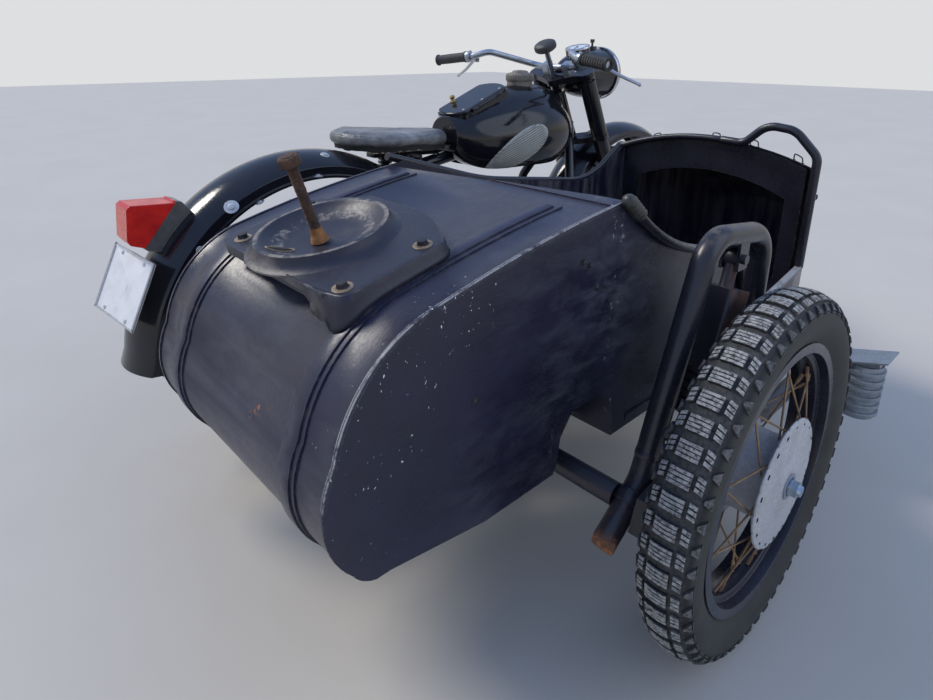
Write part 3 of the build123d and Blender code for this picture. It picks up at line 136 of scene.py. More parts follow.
class Shader:
    """A material's node tree with short ways to add nodes."""

    def __init__(self, name):
        self.material = bpy.data.materials.new(name)
        self.material.use_nodes = True
        self.tree = self.material.node_tree
        self.surface = self.tree.nodes["Principled BSDF"]
        self.place = self.add("ShaderNodeTexCoord").outputs["Object"]

    def add(self, kind, inputs=None, **options):
        node = self.tree.nodes.new(kind)
        for key, value in options.items():
            setattr(node, key, value)
        for key, value in (inputs or {}).items():
            self.plug(value, node.inputs[key])
        return node

    def plug(self, value, socket):
        if isinstance(value, bpy.types.NodeSocket):
            self.tree.links.new(value, socket)
        else:
            socket.default_value = value

    def set(self, **inputs):
        for key, value in inputs.items():
            self.plug(value, self.surface.inputs[key.replace("_", " ").title().replace("Ior", "IOR")])

    def noise(self, scale, detail, roughness, stretch=None, distortion=0.0):
        place = self.place
        if stretch:
            place = self.add("ShaderNodeMapping", {"Vector": place, "Scale": stretch}).outputs[0]
        inputs = {"Vector": place, "Scale": scale, "Detail": detail, "Roughness": roughness,
                  "Distortion": distortion}
        return self.add("ShaderNodeTexNoise", inputs).outputs["Fac"]

    def patches(self, low, high, *noise):
        """Noise cut to patches: 0 below low and 1 above high."""
        return self.span(self.noise(*noise), low, high)

    def cells(self, scale):
        return self.add("ShaderNodeTexVoronoi", {"Vector": self.place, "Scale": scale}).outputs["Distance"]

    def span(self, value, low, high, to_low=0.0, to_high=1.0):
        """The value's stretch from low to high, mapped and clamped."""
        node = self.add("ShaderNodeMapRange", {0: value, 1: low, 2: high, 3: to_low, 4: to_high})
        return node.outputs[0]

    def maths(self, operation, first, second=0.5):
        return self.add("ShaderNodeMath", {0: first, 1: second}, operation=operation).outputs[0]

    def vector(self, operation, first, second=(0, 0, 0)):
        node = self.add("ShaderNodeVectorMath", {0: first, 1: second}, operation=operation)
        return node.outputs["Value" if operation in ("DISTANCE", "DOT_PRODUCT", "LENGTH") else "Vector"]

    def times(self, first, *others):
        for other in others:
            first = self.maths("MULTIPLY", first, other)
        return first

    def most(self, first, *others):
        for other in others:
            first = self.maths("MAXIMUM", first, other)
        return first

    def mix(self, share, first, second):
        node = self.add("ShaderNodeMix", {0: share, 6: first, 7: second}, data_type="RGBA")
        return node.outputs[2]

    def axis(self, name):
        return self.add("ShaderNodeSeparateXYZ", {0: self.place}).outputs[name]

    def facing(self, name):
        normal = self.add("ShaderNodeNewGeometry").outputs["Normal"]
        return self.add("ShaderNodeSeparateXYZ", {0: normal}).outputs[name]

    def edge(self, radius):
        """About 1 on sharp edges, found from a rounded normal."""
        rounded = self.add("ShaderNodeBevel", {"Radius": radius}, samples=6).outputs[0]
        plain = self.add("ShaderNodeNewGeometry").outputs["Normal"]
        dot = self.vector("DOT_PRODUCT", rounded, plain)
        return self.span(dot, 0.995, 0.8)

    def near(self, centre, radius, soft):
        """1 within a radius of a point, fading over soft."""
        gap = self.vector("DISTANCE", self.place, centre)
        return self.span(gap, radius + soft, radius)

    def along(self, low, high):
        """0 to 1 between two distances ahead of the rear axle, in design millimetres."""
        return self.span(self.axis("X"), at(low, 0, 0).x, at(high, 0, 0).x)

    def bump(self, height, strength, distance, below=None):
        inputs = {"Height": height, "Strength": strength, "Distance": distance}
        if below is not None:
            inputs["Normal"] = below
        return self.add("ShaderNodeBump", inputs).outputs[0]

    def finish(self, colour, rough, relief, metallic=0.0):
        """Plugs in what the material is made of, and gives the material."""
        self.set(base_color=colour, roughness=rough, metallic=metallic)
        self.plug(relief, self.surface.inputs["Normal"])
        return self.material


# Grey; the optional bluish part is painted sky reflection on black paint.
def grey(value, painted_sky_blue=0.0):
    return (value, value, value + painted_sky_blue, 1.0)


rust_brown = (0.16, 0.07, 0.035, 1)
rust_orange = (0.38, 0.15, 0.06, 1)
primer = (0.3, 0.26, 0.21, 1)
pale_chip = (0.62, 0.62, 0.62, 1)


class Paint(Shader):
    """Brushed black enamel: uneven gloss, thin dust on top faces, worn and chipped edges.

    base gives its colour, and the last value adds a bluish tint to it that is painted sky reflection; rough gives
    its gloss, dust and worn their strength, and streak the brush marks.
    """

    def __init__(self, name, base=0.012, rough=0.22, dust=0.25, worn=0.35, streak=(6, 6, 6), painted_sky_blue=0.004):
        super().__init__(name)
        self.cloud = self.noise(7, 6, 0.6)
        self.brush = self.noise(22, 5, 0.65, streak)
        grain = self.noise(160, 3, 0.6)
        self.dust = self.times(self.span(self.facing("Z"), 0.1, 0.95),
                               self.span(self.noise(11, 8, 0.7), 0.35, 0.75, 0.2, 1.0), dust)
        # The bluish tint in the paint colour is painted sky reflection on black enamel.
        colour = self.mix(self.span(self.cloud, 0.3, 0.7), grey(base, painted_sky_blue), grey(base * 1.9, painted_sky_blue * 2))
        colour = self.mix(self.dust, colour, (0.13, 0.13, 0.13, 1))
        chips = self.times(self.edge(0.003), self.patches(0.5, 0.6, 60, 6, 0.7), worn)
        self.colour = self.mix(chips, colour, (0.23, 0.2, 0.18, 1))
        scratch = self.span(self.noise(9, 2, 0.5, (1, 14, 14), 0.6), 0.495, 0.5, 0, 1)
        gloss = self.maths("ADD", self.times(self.cloud, 0.6), self.times(self.brush, 0.4))
        gloss = self.span(gloss, 0.3, 0.7, rough * 0.75, rough * 1.7)
        self.rough = self.maths("ADD", gloss, self.times(self.dust, 0.7))
        relief = self.bump(self.brush, 0.35, 0.0008)
        relief = self.bump(grain, 0.12, 0.0003, relief)
        self.relief = self.bump(scratch, 0.05, 0.0002, relief)

    def stain(self, share, colour, rough=None):
        """Lays a colour over the paint where share is 1."""
        self.colour = self.mix(share, self.colour, colour)
        if rough is not None:
            kept = self.times(self.rough, self.span(share, 0, 1, 1, 0))
            self.rough = self.maths("ADD", kept, self.times(share, rough))

    def mark(self, pattern, node, marks, colour, rough=None):
        """Stains a pattern round points seen in the photograph: across, down, radius, soft edge and share."""
        for across, down, radius, soft, share in marks:
            spread = self.near(seen(node, across, down)[0], radius, soft)
            self.stain(self.times(pattern, spread, share), colour, rough)

    def done(self, metallic=0.0):
        return self.finish(self.colour, self.rough, self.relief, metallic)


def black_paint(*values):
    return Paint(*values).done()


def body_paint(name):
    """Sidecar sheet: black enamel with a bluish tint that is painted sky reflection, a chipped seam, paint
    flecks, scuffs and a rust spot.
    """
    # The last value, 0.014, is the bluish tint of painted sky reflection.
    s = Paint(name, 0.0105, 0.27, 0.08, 0.45, (2, 9, 9), 0.014)
    right_side = at(0, -915, 0).y
    seam = s.times(s.span(s.axis("Y"), right_side + 0.0075, right_side + 0.0055), s.edge(0.005),
                   s.span(s.axis("Z"), 0.52, 0.6), s.patches(0.4, 0.5, 40, 7, 0.75))
    s.stain(s.times(seam, 0.9), pale_chip, 0.7)
    fleck = s.patches(0.685, 0.7, 150, 4, 0.6, (1, 1, 0.6))
    flecks = ((349, 450, 0.035), (371, 485, 0.012), (392, 383, 0.03), (404, 439, 0.03), (424, 387, 0.012),
              (447, 318, 0.03), (475, 309, 0.03), (336, 553, 0.03), (380, 555, 0.02))
    s.mark(fleck, "sidecar_body", [(*place, 0.03, 1.0) for place in flecks], (0.75, 0.75, 0.75, 1), 0.6)
    hazy = s.patches(0.42, 0.72, 13, 6, 0.65, (1, 1, 2.4), 0.4)
    scuffs = ((636, 286, 0.06, 0.1), (600, 330, 0.08, 0.07), (560, 250, 0.09, 0.05), (520, 470, 0.1, 0.05),
              (250, 330, 0.08, 0.05))
    s.mark(hazy, "sidecar_body", [(*place, 0.12, share) for *place, share in scuffs], (0.5, 0.52, 0.56, 1))
    scrape = s.patches(0.58, 0.64, 60, 5, 0.7, (0.5, 1, 1))
    scrapes = ((263, 403), (254, 416), (250, 450), (272, 397))
    s.mark(scrape, "sidecar_body", [(*place, 0.006, 0.014, 1.0) for place in scrapes], rust_orange, 0.8)
    strip = s.times(s.along(62, 66), s.along(104, 98), s.patches(0.6, 0.66, 38, 7, 0.75))
    s.stain(s.times(strip, 0.6), pale_chip, 0.7)
    off_middle = s.maths("SUBTRACT", s.axis("Y"), at(0, body_middle, 0).y)
    inner = s.most(s.span(s.times(off_middle, s.facing("Y")), -0.01, -0.05),
                   s.times(s.span(s.facing("X"), -0.2, -0.5), s.along(980, 990)))
    inner = s.times(inner, s.along(200, 240))
    s.stain(s.times(inner, s.patches(0.42, 0.66, 30, 7, 0.7, (1, 1, 0.12)), 0.7), (0.14, 0.14, 0.14, 1), 0.6)
    brown = s.span(s.axis("Y"), at(0, -690, 0).y, at(0, -860, 0).y)
    s.stain(s.times(inner, brown, s.patches(0.34, 0.58, 12, 7, 0.7), 0.8), (0.2, 0.1, 0.045, 1), 0.8)
    return s.done()


def carrier_paint(name):
    """The dish's ring is worn to tan metal, and its bowl is spotted with rust."""
    s = Paint(name, 0.0105, 0.3, 0.14, 0.9, (5, 5, 5), 0.01)
    ring = 0.103
    height = s.span(s.facing("Z"), 0.8, 0.97)
    rubbed = s.noise(28, 8, 0.75, None, 0.3)
    slant = s.vector("DISTANCE", s.place, dish_middle)
    band = s.times(s.span(slant, ring - 0.007, ring - 0.001), s.span(slant, ring + 0.009, ring + 0.004))
    s.stain(s.times(band, s.span(rubbed, 0.42, 0.56), height, 0.8), primer, 0.6)
    bowl = s.span(slant, ring - 0.006, ring - 0.03)
    s.stain(s.times(bowl, s.patches(0.6, 0.7, 120, 5, 0.7), 0.6), rust_brown, 0.8)
    s.stain(s.times(bowl, s.patches(0.55, 0.75, 14, 6, 0.7), 0.3), (0.16, 0.14, 0.08, 1), 0.5)
    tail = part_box("carrier_plate")[0].x
    rear = s.span(s.axis("X"), tail + 0.02, tail + 0.006)
    s.stain(s.times(rear, s.span(rubbed, 0.4, 0.6), 0.7), primer, 0.6)
    return s.done()


def tube_paint(name):
    """Chassis tube enamel: rubbed bare along the top, rusty at the cut tail and the cross tube."""
    s = Paint(name, 0.011, 0.22, 0.16, 0.6, (3, 3, 3), 0.006)
    rub = s.times(s.span(s.facing("Z"), 0.55, 0.95), s.span(s.axis("Z"), 0.72, 0.76),
                  s.patches(0.42, 0.6, 30, 7, 0.7))
    s.stain(s.times(rub, 0.7), (0.21, 0.16, 0.12, 1), 0.5)
    tail = s.near(at(-74, hoop_side, 292), 0.026, 0.02)
    s.stain(s.times(tail, s.patches(0.3, 0.45, 60, 6, 0.7)), rust_brown, 0.8)
    s.stain(s.times(tail, s.patches(0.52, 0.62, 90, 6, 0.7)), rust_orange, 0.85)
    joint = s.near(at(20, -1010, 360), 0.03, 0.05)
    s.stain(s.times(joint, s.patches(0.55, 0.68, 70, 6, 0.7), 0.8), rust_brown, 0.8)
    low = s.times(s.span(s.axis("Z"), 0.4, 0.3), s.patches(0.5, 0.72, 26, 7, 0.75), 0.35)
    s.stain(low, (0.12, 0.085, 0.06, 1), 0.7)
    return s.done()


def shock_paint(name):
    """Shock absorber: painted shroud with a rusty outer face over a black ribbed boot."""
    s = Paint(name, 0.013, 0.3, 0.1, 0.8, (5, 5, 5), 0.008)
    face = s.times(s.span(s.facing("Y"), -0.2, -0.7), s.span(s.axis("Z"), 0.58, 0.6),
                   s.patches(0.36, 0.6, 24, 7, 0.7))
    s.stain(s.times(face, 0.75), rust_brown, 0.7)
    return s.done()


def axle_paint(name):
    """Wheel arm enamel, with the bright bluish nut at the wheel's middle."""
    s = Paint(name, 0.012, 0.25, 0.2, 0.5)
    nut = s.near(at(260, -1200, axle_height), 0.022, 0.002)
    s.stain(nut, (0.45, 0.55, 0.64, 1), 0.24)
    return s.done(s.times(nut, 0.9))


def beading_paint(name):
    """Cockpit beading: black, polished bare where people climb in."""
    s = Paint(name, 0.011, 0.24, 0.12, 0.7, (5, 5, 5), 0.006)
    sill = s.near(at(420, body_edge, 690), 0.1, 0.14)
    s.stain(s.times(sill, s.span(s.facing("Z"), -0.2, 0.6), s.patches(0.38, 0.55, 34, 6, 0.7), 0.75),
            (0.33, 0.31, 0.27, 1), 0.3)
    entry = s.times(s.span(s.axis("Z"), 0.57, 0.53), s.span(s.facing("Z"), 0.0, 0.6),
                    s.patches(0.3, 0.5, 20, 6, 0.7))
    s.stain(s.times(entry, 0.8), (0.42, 0.43, 0.45, 1), 0.3)
    return s.done()


def rust_metal(name, dark=(0.05, 0.028, 0.018, 1), bright=(0.23, 0.1, 0.045, 1), rough=0.75, metallic=0.25):
    s = Shader(name)
    coarse = s.noise(35, 8, 0.7)
    fine = s.noise(260, 4, 0.6)
    colour = s.mix(s.span(coarse, 0.35, 0.68), dark, bright)
    colour = s.mix(s.span(fine, 0.55, 0.75, 0, 0.5), colour, (0.3, 0.2, 0.13, 1))
    return s.finish(colour, s.span(coarse, 0.3, 0.7, rough - 0.15, rough + 0.1),
                    s.bump(fine, 0.6, 0.0006, s.bump(coarse, 0.4, 0.0012)), metallic)


def bare_metal(name, colour, rough, metallic=1.0, dirt=0.4, dirt_colour=(0.08, 0.065, 0.05, 1)):
    s = Shader(name)
    coarse = s.noise(16, 8, 0.7)
    fine = s.noise(190, 4, 0.6)
    shade = s.mix(s.span(fine, 0.3, 0.7), colour, tuple(0.75 * c for c in colour[:3]) + (1,))
    grime = s.times(s.span(coarse, 0.48, 0.7), dirt)
    rough = s.span(coarse, 0.3, 0.7, rough * 0.75, min(1, rough * 1.6))
    return s.finish(s.mix(grime, shade, dirt_colour), rough,
                    s.bump(fine, 0.25, 0.0003), s.span(grime, 0, 1, metallic, metallic * 0.3))


def tyre_rubber(name):
    """Weathered tyre: dark rubber, pale dust in the grooves and a pale painted highlight on the block tops, olive
    sidewall.
    """
    s = Shader(name)
    cloud = s.noise(20, 7, 0.65)
    fine = s.noise(240, 4, 0.65)
    # The worn value lightens the block tops, which is painted highlight, and faintly the groove floors, which is
    # dust.
    worn = s.add("ShaderNodeAttribute", attribute_name="worn").outputs["Fac"]
    wall = s.add("ShaderNodeAttribute", attribute_name="wall").outputs["Fac"]
    tread = s.mix(s.span(cloud, 0.3, 0.7), (0.008, 0.008, 0.01, 1), (0.024, 0.024, 0.027, 1))
    olive = s.mix(s.span(cloud, 0.35, 0.7), (0.026, 0.027, 0.024, 1), (0.055, 0.055, 0.048, 1))
    # Pale dust in the grooves, and painted highlight on the block tops.
    dust = s.times(worn, s.patches(0.36, 0.56, 150, 6, 0.75), 0.95)
    colour = s.mix(dust, s.mix(wall, tread, olive), (0.42, 0.415, 0.4, 1))
    return s.finish(colour, s.span(cloud, 0.3, 0.7, 0.62, 0.85), s.bump(fine, 0.4, 0.0005))


def rubber(name, base=0.018, rough=0.6):
    s = Shader(name)
    cloud = s.noise(28, 7, 0.65)
    fine = s.noise(300, 3, 0.6)
    colour = s.mix(s.span(cloud, 0.35, 0.72), grey(base), grey(base * 2.6))
    return s.finish(colour, s.span(cloud, 0.3, 0.7, rough - 0.1, rough + 0.15), s.bump(fine, 0.3, 0.0004))


def leather(name, base, pale, rough=0.45):
    """Old leathercloth: pebbled grain, rubbed paler in patches."""
    s = Shader(name)
    pebble = s.cells(420)
    cloud = s.noise(14, 7, 0.65)
    creases = s.patches(0.47, 0.53, 30, 6, 0.7, None, 1.2)
    colour = s.mix(s.span(cloud, 0.4, 0.68), base, pale)
    return s.finish(colour, s.span(cloud, 0.3, 0.7, rough - 0.08, rough + 0.25),
                    s.bump(pebble, 0.35, 0.0006, s.bump(creases, 0.15, 0.0008)))


def plate_paint(name):
    """White enamel with thin grime gathered in cloudy patches."""
    s = Shader(name)
    cloud = s.noise(18, 8, 0.7)
    fleck = s.patches(0.66, 0.74, 90, 5, 0.7)
    colour = s.mix(s.span(cloud, 0.45, 0.8), (0.82, 0.82, 0.82, 1), (0.62, 0.62, 0.6, 1))
    colour = s.mix(s.times(fleck, 0.4), colour, (0.3, 0.28, 0.25, 1))
    return s.finish(colour, s.span(cloud, 0.3, 0.7, 0.25, 0.45), s.bump(cloud, 0.1, 0.001))


def lens(name):
    """Red lamp plastic with moulded lines; its rear face is a paler reflector, its foot is bare metal."""
    s = Shader(name)
    lines = s.add("ShaderNodeTexWave", {"Vector": s.place, "Scale": 60.0}, bands_direction="Z").outputs["Fac"]
    checks = s.cells(210)
    cloud = s.noise(30, 6, 0.6)
    rear = s.span(s.facing("X"), -0.8, -0.95)
    red = s.mix(s.span(cloud, 0.35, 0.75), (0.72, 0.03, 0.022, 1), (0.42, 0.012, 0.012, 1))
    pale = s.mix(s.span(checks, 0.2, 0.6), (0.75, 0.16, 0.1, 1), (0.6, 0.07, 0.04, 1))
    corner = at(-334, 0, 742)
    ahead = s.times(s.maths("SUBTRACT", s.axis("X"), corner.x), 0.767)
    below = s.times(s.maths("SUBTRACT", s.axis("Z"), corner.z), -0.642)
    foot = s.span(s.maths("ADD", ahead, below), 0.0, 0.001)
    metal = s.mix(s.span(cloud, 0.35, 0.7), (0.42, 0.42, 0.41, 1), (0.2, 0.19, 0.18, 1))
    colour = s.mix(foot, s.mix(rear, red, pale), metal)
    rough = s.maths("ADD", s.span(cloud, 0.3, 0.7, 0.12, 0.28), s.times(foot, 0.2))
    return s.finish(colour, rough, s.bump(lines, 0.25, 0.0006), s.times(foot, 0.9))


def glass(name, colour=(0.82, 0.86, 0.86, 1), rough=0.06):
    """Dusty lamp or instrument glass over a pale ground."""
    s = Shader(name)
    cloud = s.noise(40, 6, 0.65)
    s.set(base_color=s.mix(s.span(cloud, 0.4, 0.8, 0, 0.35), colour, (0.5, 0.48, 0.42, 1)),
          roughness=s.span(cloud, 0.3, 0.7, rough, rough + 0.15))
    s.plug(0.6, s.surface.inputs["Coat Weight"])
    return s.material


def pad_rubber(name):
    """Knee pad: weathered pale rubber, with fine slanting dark lines that are painted shade in the grooves
    between its ribs.
    """
    s = Shader(name)
    cloud = s.noise(26, 7, 0.7)
    shade = s.mix(s.span(cloud, 0.3, 0.7), (0.34, 0.34, 0.31, 1), (0.52, 0.52, 0.47, 1))
    sine, cosine = math.sin(pad_tilt), math.cos(pad_tilt)
    slant = (-sine + 0.12 * cosine, 0, cosine + 0.12 * sine)
    away = s.vector("SUBTRACT", s.place, at(pad_middle[0], 0, pad_middle[1]))
    rise = s.vector("DOT_PRODUCT", away, slant)
    # The dark lines fall in the troughs of the pad's ribs: painted shade in the grooves.
    line = s.maths("COSINE", s.times(rise, 2 * math.pi / 0.0075), 0.0)
    flat = s.vector("MULTIPLY", away, (1, 0, 1))
    span = s.vector("LENGTH", flat)
    across = s.vector("DOT_PRODUCT", away, (-sine, 0, cosine))
    inside = s.times(s.span(span, 0.112, 0.106), s.span(s.maths("ABSOLUTE", across), 0.047, 0.044))
    shade = s.mix(s.times(s.span(line, -0.1, -0.7), inside, 0.75), shade, (0.07, 0.07, 0.06, 1))
    return s.finish(shade, s.span(cloud, 0.3, 0.7, 0.4, 0.6), s.bump(s.noise(240, 3, 0.6), 0.3, 0.0004))


# Each material, with what makes it and the values that it takes
looks = {
    # The last value of each paint is a bluish tint that is painted sky reflection.
    "machine_paint": (black_paint, 0.007, 0.12, 0.06, 0.3, (4, 4, 4), 0.003),
    "tank_paint": (black_paint, 0.006, 0.08, 0.05, 0.35, (3, 3, 3), 0.002),
    "rim_paint": (black_paint, 0.009, 0.2, 0.03, 0.45, (4, 4, 4), 0.008),
    "body_paint": (body_paint,),
    "carrier_paint": (carrier_paint,),
    "beading_paint": (beading_paint,),
    "chassis_paint": (tube_paint,),
    "shock_paint": (shock_paint,),
    "axle_paint": (axle_paint,),
    "tyre": (tyre_rubber,),
    "rubber": (rubber,),
    "block_rubber": (rubber, 0.07, 0.7),
    "grip_rubber": (rubber, 0.03, 0.65),
    "pad_rubber": (pad_rubber,),
    "dark_metal": (bare_metal, (0.16, 0.155, 0.15, 1), 0.45, 0.8),
    "aluminium": (bare_metal, (0.5, 0.5, 0.5, 1), 0.38, 0.9),
    "hub_metal": (bare_metal, (0.58, 0.59, 0.61, 1), 0.55, 0.35, 0.45, (0.3, 0.29, 0.28, 1)),
    "zinc": (bare_metal, (0.5, 0.54, 0.6, 1), 0.3, 0.95, 0.3),
    "bolt_zinc": (bare_metal, (0.66, 0.68, 0.7, 1), 0.34, 0.7, 0.3, (0.3, 0.27, 0.22, 1)),
    "chrome": (bare_metal, (0.62, 0.62, 0.64, 1), 0.12, 1.0, 0.3),
    "brass": (bare_metal, (0.5, 0.36, 0.16, 1), 0.4, 0.9, 0.3),
    "rust": (rust_metal, (0.035, 0.022, 0.016, 1), (0.13, 0.065, 0.038, 1)),
    "spoke_rust": (rust_metal, (0.14, 0.085, 0.05, 1), (0.42, 0.27, 0.15, 1), 0.7, 0.2),
    "orange_rust": (rust_metal, (0.2, 0.08, 0.03, 1), (0.5, 0.22, 0.07, 1), 0.85, 0.0),
    "cap_metal": (rust_metal, (0.12, 0.11, 0.095, 1), (0.3, 0.27, 0.23, 1), 0.7, 0.3),
    # The saddle's light grey tones are painted sheen over dark leather.
    "saddle": (leather, (0.085, 0.087, 0.09, 1), (0.3, 0.3, 0.3, 1), 0.32),
    "seat": (leather, (0.02, 0.018, 0.016, 1), (0.05, 0.043, 0.036, 1), 0.55),
    "plate": (plate_paint,),
    "red_lens": (lens,),
    "dial_glass": (glass,),
    "lamp_glass": (glass, (0.6, 0.62, 0.62, 1), 0.04),
    "void": (rubber, 0.003, 0.9),
    "tan_metal": (rust_metal, (0.16, 0.12, 0.08, 1), (0.42, 0.33, 0.23, 1), 0.6, 0.3),
    "black_steel": (bare_metal, (0.05, 0.05, 0.055, 1), 0.4, 0.6),
    "lever_metal": (bare_metal, (0.62, 0.65, 0.7, 1), 0.28, 0.9, 0.2),
    "knob_plastic": (rubber, 0.028, 0.5),
    "pan_hide": (rubber, 0.012, 0.75),
    "wrap_hide": (rubber, 0.022, 0.4),
    "galvanised": (bare_metal, (0.32, 0.37, 0.42, 1), 0.4, 0.7),
}
materials = {name: make(name, *values) for name, (make, *values) in looks.items()}

# The CAD nodes that wear each material
wearers = {
    "rim_paint": "rear_rim front_rim sidecar_rim",
    "hub_metal": "rear_hub front_hub sidecar_hub",
    "machine_paint": "main_frame rear_suspension saddle_springs rear_fender front_fork headlamp "
                     "front_fender",
    "aluminium": "engine_block final_drive",
    "dark_metal": "cylinder_left cylinder_right",
    "chrome": "exhaust",
    "tank_paint": "fuel_tank toolbox_lid",
    "cap_metal": "filler_cap",
    "pad_rubber": "knee_pads",
    "saddle": "saddle",
    "red_lens": "tail_lamp",
    "plate": "number_plate",
    "rubber": "foot_pegs hand_controls",
    "zinc": "handlebar",
    "body_paint": "sidecar_body",
    "beading_paint": "cockpit_rim grab_handle",
    "seat": "seat_cushion seat_backrest",
    "carrier_paint": "carrier_plate",
    "rust": "carrier_bolt",
    "chassis_paint": "sidecar_frame wheel_hoop sidecar_struts",
    "axle_paint": "wheel_arm",
    "shock_paint": "wheel_shock",
    "block_rubber": "body_mounts",
    "galvanised": "entry_step",
    "tyre": "rear_tyre front_tyre sidecar_tyre",
}
node_material = {node: name for name, group in wearers.items() for node in group.split()}


def dress(name):
    """Gives a CAD node its material, and welded and rounded edges."""
    piece = nodes[name]
    piece.data.materials.clear()
    piece.data.materials.append(materials[node_material[name]])
    weld = piece.modifiers.new("weld", "WELD")
    weld.merge_threshold = 0.00002
    if node_material[name] != "tyre":
        round_off = piece.modifiers.new("round", "BEVEL")
        round_off.width = 0.0012
        round_off.segments = 2
        round_off.limit_method = "ANGLE"
        round_off.angle_limit = math.radians(32)


for node_name in nodes:
    dress(node_name)


def smooth(mesh, angle):
    """Smooth shading, kept sharp where faces meet at more than the angle."""
    mesh.polygons.foreach_set("use_smooth", [True] * len(mesh.polygons))
    mesh.set_sharp_from_angle(angle=math.radians(angle))


def stand(point, axis):
    """Matrix with its origin at a point and its z axis along a direction."""
    return Matrix.Translation(point) @ Vector(axis).to_track_quat("Z", "Y").to_matrix().to_4x4()


def shift(x, y, z):
    """A move in millimetres."""
    return Matrix.Translation(Vector((x, y, z)) / 1000)


def roll(degrees, axis="Z"):
    return Matrix.Rotation(math.radians(degrees), 4, axis)


def piece_of(name, mesh, body, material, angle=35):
    """An object from a mesh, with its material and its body."""
    mesh.materials.append(materials[material])
    smooth(mesh, angle)
    piece = bpy.data.objects.new(name, mesh)
    bpy.context.scene.collection.objects.link(piece)
    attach(piece, body)
    return piece


def polar(radius, angle, height):
    """A point about a place's z axis: millimetres and radians in, metres out."""
    return Vector((radius * math.cos(angle), radius * math.sin(angle), height)) / 1000


class Maker:
    """Builds one mesh from turned forms, tubes and slabs. Sizes are in millimetres, places in metres."""

    def __init__(self):
        self.work = bmesh.new()

    def rows(self, rows, closed=True):
        for a, b in zip(rows, rows[1:]):
            count = max(len(a), len(b))
            for i in range(count if closed else count - 1):
                j = (i + 1) % count
                if len(a) == 1:
                    corners = (a[0], b[i], b[j])
                elif len(b) == 1:
                    corners = (a[i], a[j], b[0])
                else:
                    corners = (a[i], a[j], b[j], b[i])
                self.work.faces.new(corners)

    def lathe(self, place, profile, sides=32, wave=None):
        """A form turned about the place's z axis from (radius, height) points; wave adds to the radius."""
        rows = []
        for radius, height in profile:
            if radius < 1e-6:
                rows.append([self.work.verts.new(place @ Vector((0, 0, height / 1000)))])
                continue
            row = []
            for i in range(sides):
                angle = 2 * math.pi * i / sides
                reach = radius + (wave(angle, radius) if wave else 0)
                row.append(self.work.verts.new(place @ polar(reach, angle, height)))
            rows.append(row)
        self.rows(rows)

    def hexagon(self, place, radius, low, high, bevel=1.2):
        """A chamfered hexagon head or nut."""
        self.lathe(place, [(0, low), (radius - bevel, low), (radius, low + bevel), (radius, high - bevel),
                           (radius - bevel, high), (0, high)], 6)

    def tube(self, points, radius, sides):
        """A tube along points in metres; radius is in millimetres, or a function of the share along."""
        side, rows = None, []
        for i, point in enumerate(points):
            along = (points[min(i + 1, len(points) - 1)] - points[max(i - 1, 0)]).normalized()
            side = (side - along * side.dot(along)) if side else along.orthogonal()
            side.normalize()
            over = along.cross(side)
            reach = (radius(i / (len(points) - 1)) if callable(radius) else radius) / 1000
            rows.append([self.work.verts.new(point + reach * (math.cos(2 * math.pi * k / sides) * side
                                                              + math.sin(2 * math.pi * k / sides) * over))
                         for k in range(sides)])
        self.rows(rows)
        self.work.faces.new(rows[0][::-1])
        self.work.faces.new(rows[-1])

    def slab(self, place, size, bevel):
        """A block with chamfered edges, centred on the place."""
        made = bmesh.ops.create_cube(self.work, size=1.0)["verts"]
        for vert in made:
            vert.co = place @ (vert.co * Vector(size) / 1000)
        edges = list(dict.fromkeys(edge for vert in made for edge in vert.link_edges))
        bmesh.ops.bevel(self.work, geom=edges, offset=bevel / 1000, segments=2, affect="EDGES", profile=0.6)

    def piece(self, name, body, material, slot, angle=35):
        """What was built, as a piece of the scene."""
        return piece_of(name, self.mesh(name), body, material, angle)

    def mesh(self, name):
        bmesh.ops.recalc_face_normals(self.work, faces=self.work.faces)
        mesh = bpy.data.meshes.new(name)
        self.work.to_mesh(mesh)
        self.work.free()
        return mesh


def curve(points, steps):
    """A Catmull-Rom curve from the second point to the last but one, in as many steps for each run."""
    return [0.5 * (2 * b + (c - a) * t + (2 * a - 5 * b + 4 * c - d) * t ** 2
                   + (3 * b - a - 3 * c + d) * t ** 3)
            for a, b, c, d in zip(points, points[1:], points[2:], points[3:])
            for t in (step / steps for step in range(steps))]


def smooth_line(points, steps):
    """A smooth line through points."""
    return curve([points[0] * 2 - points[1], *points, points[-1] * 2 - points[-2]], steps) + [points[-1]]


# Tyres

tyre_profile = ((0, 338.5), (8.7, 337.9), (17.3, 336.1), (25.5, 333.1), (33.2, 329.0), (39.4, 323.4),
                (44.0, 316.0), (46.8, 307.0), (47.6, 297.5), (46.0, 286.0), (41.5, 273.0), (36.5, 264.0),
                (33.2, 258.0), (30.0, 243.0))
wall_start = 52.0  # from the crown along the casing, where the sidewall begins


def profile_lengths():
    lengths = [0.0]
    for (y0, r0), (y1, r1) in zip(tyre_profile, tyre_profile[1:]):
        lengths.append(lengths[-1] + math.hypot(y1 - y0, r1 - r0))
    return lengths


profile_reach = profile_lengths()


def on_tyre(across, along, height):
    """A point in metres: millimetres across from the crown, along the tread, and above the casing."""
    side, reach = (1 if across >= 0 else -1), min(abs(across), profile_reach[-1] - 1e-6)
    step = next(i for i, far in enumerate(profile_reach[1:]) if reach <= far)
    share = (reach - profile_reach[step]) / (profile_reach[step + 1] - profile_reach[step])
    (y0, r0), (y1, r1) = tyre_profile[step], tyre_profile[step + 1]
    slope = Vector((y1 - y0, r1 - r0)).normalized()
    y = y0 + share * (y1 - y0) - slope.y * height
    radius = r0 + share * (r1 - r0) + slope.x * height
    angle = along / tyre_size
    return Vector((radius * math.sin(angle), side * y, radius * math.cos(angle))) / 1000


pitch_length = 2 * math.pi * tyre_size / tread_pitches


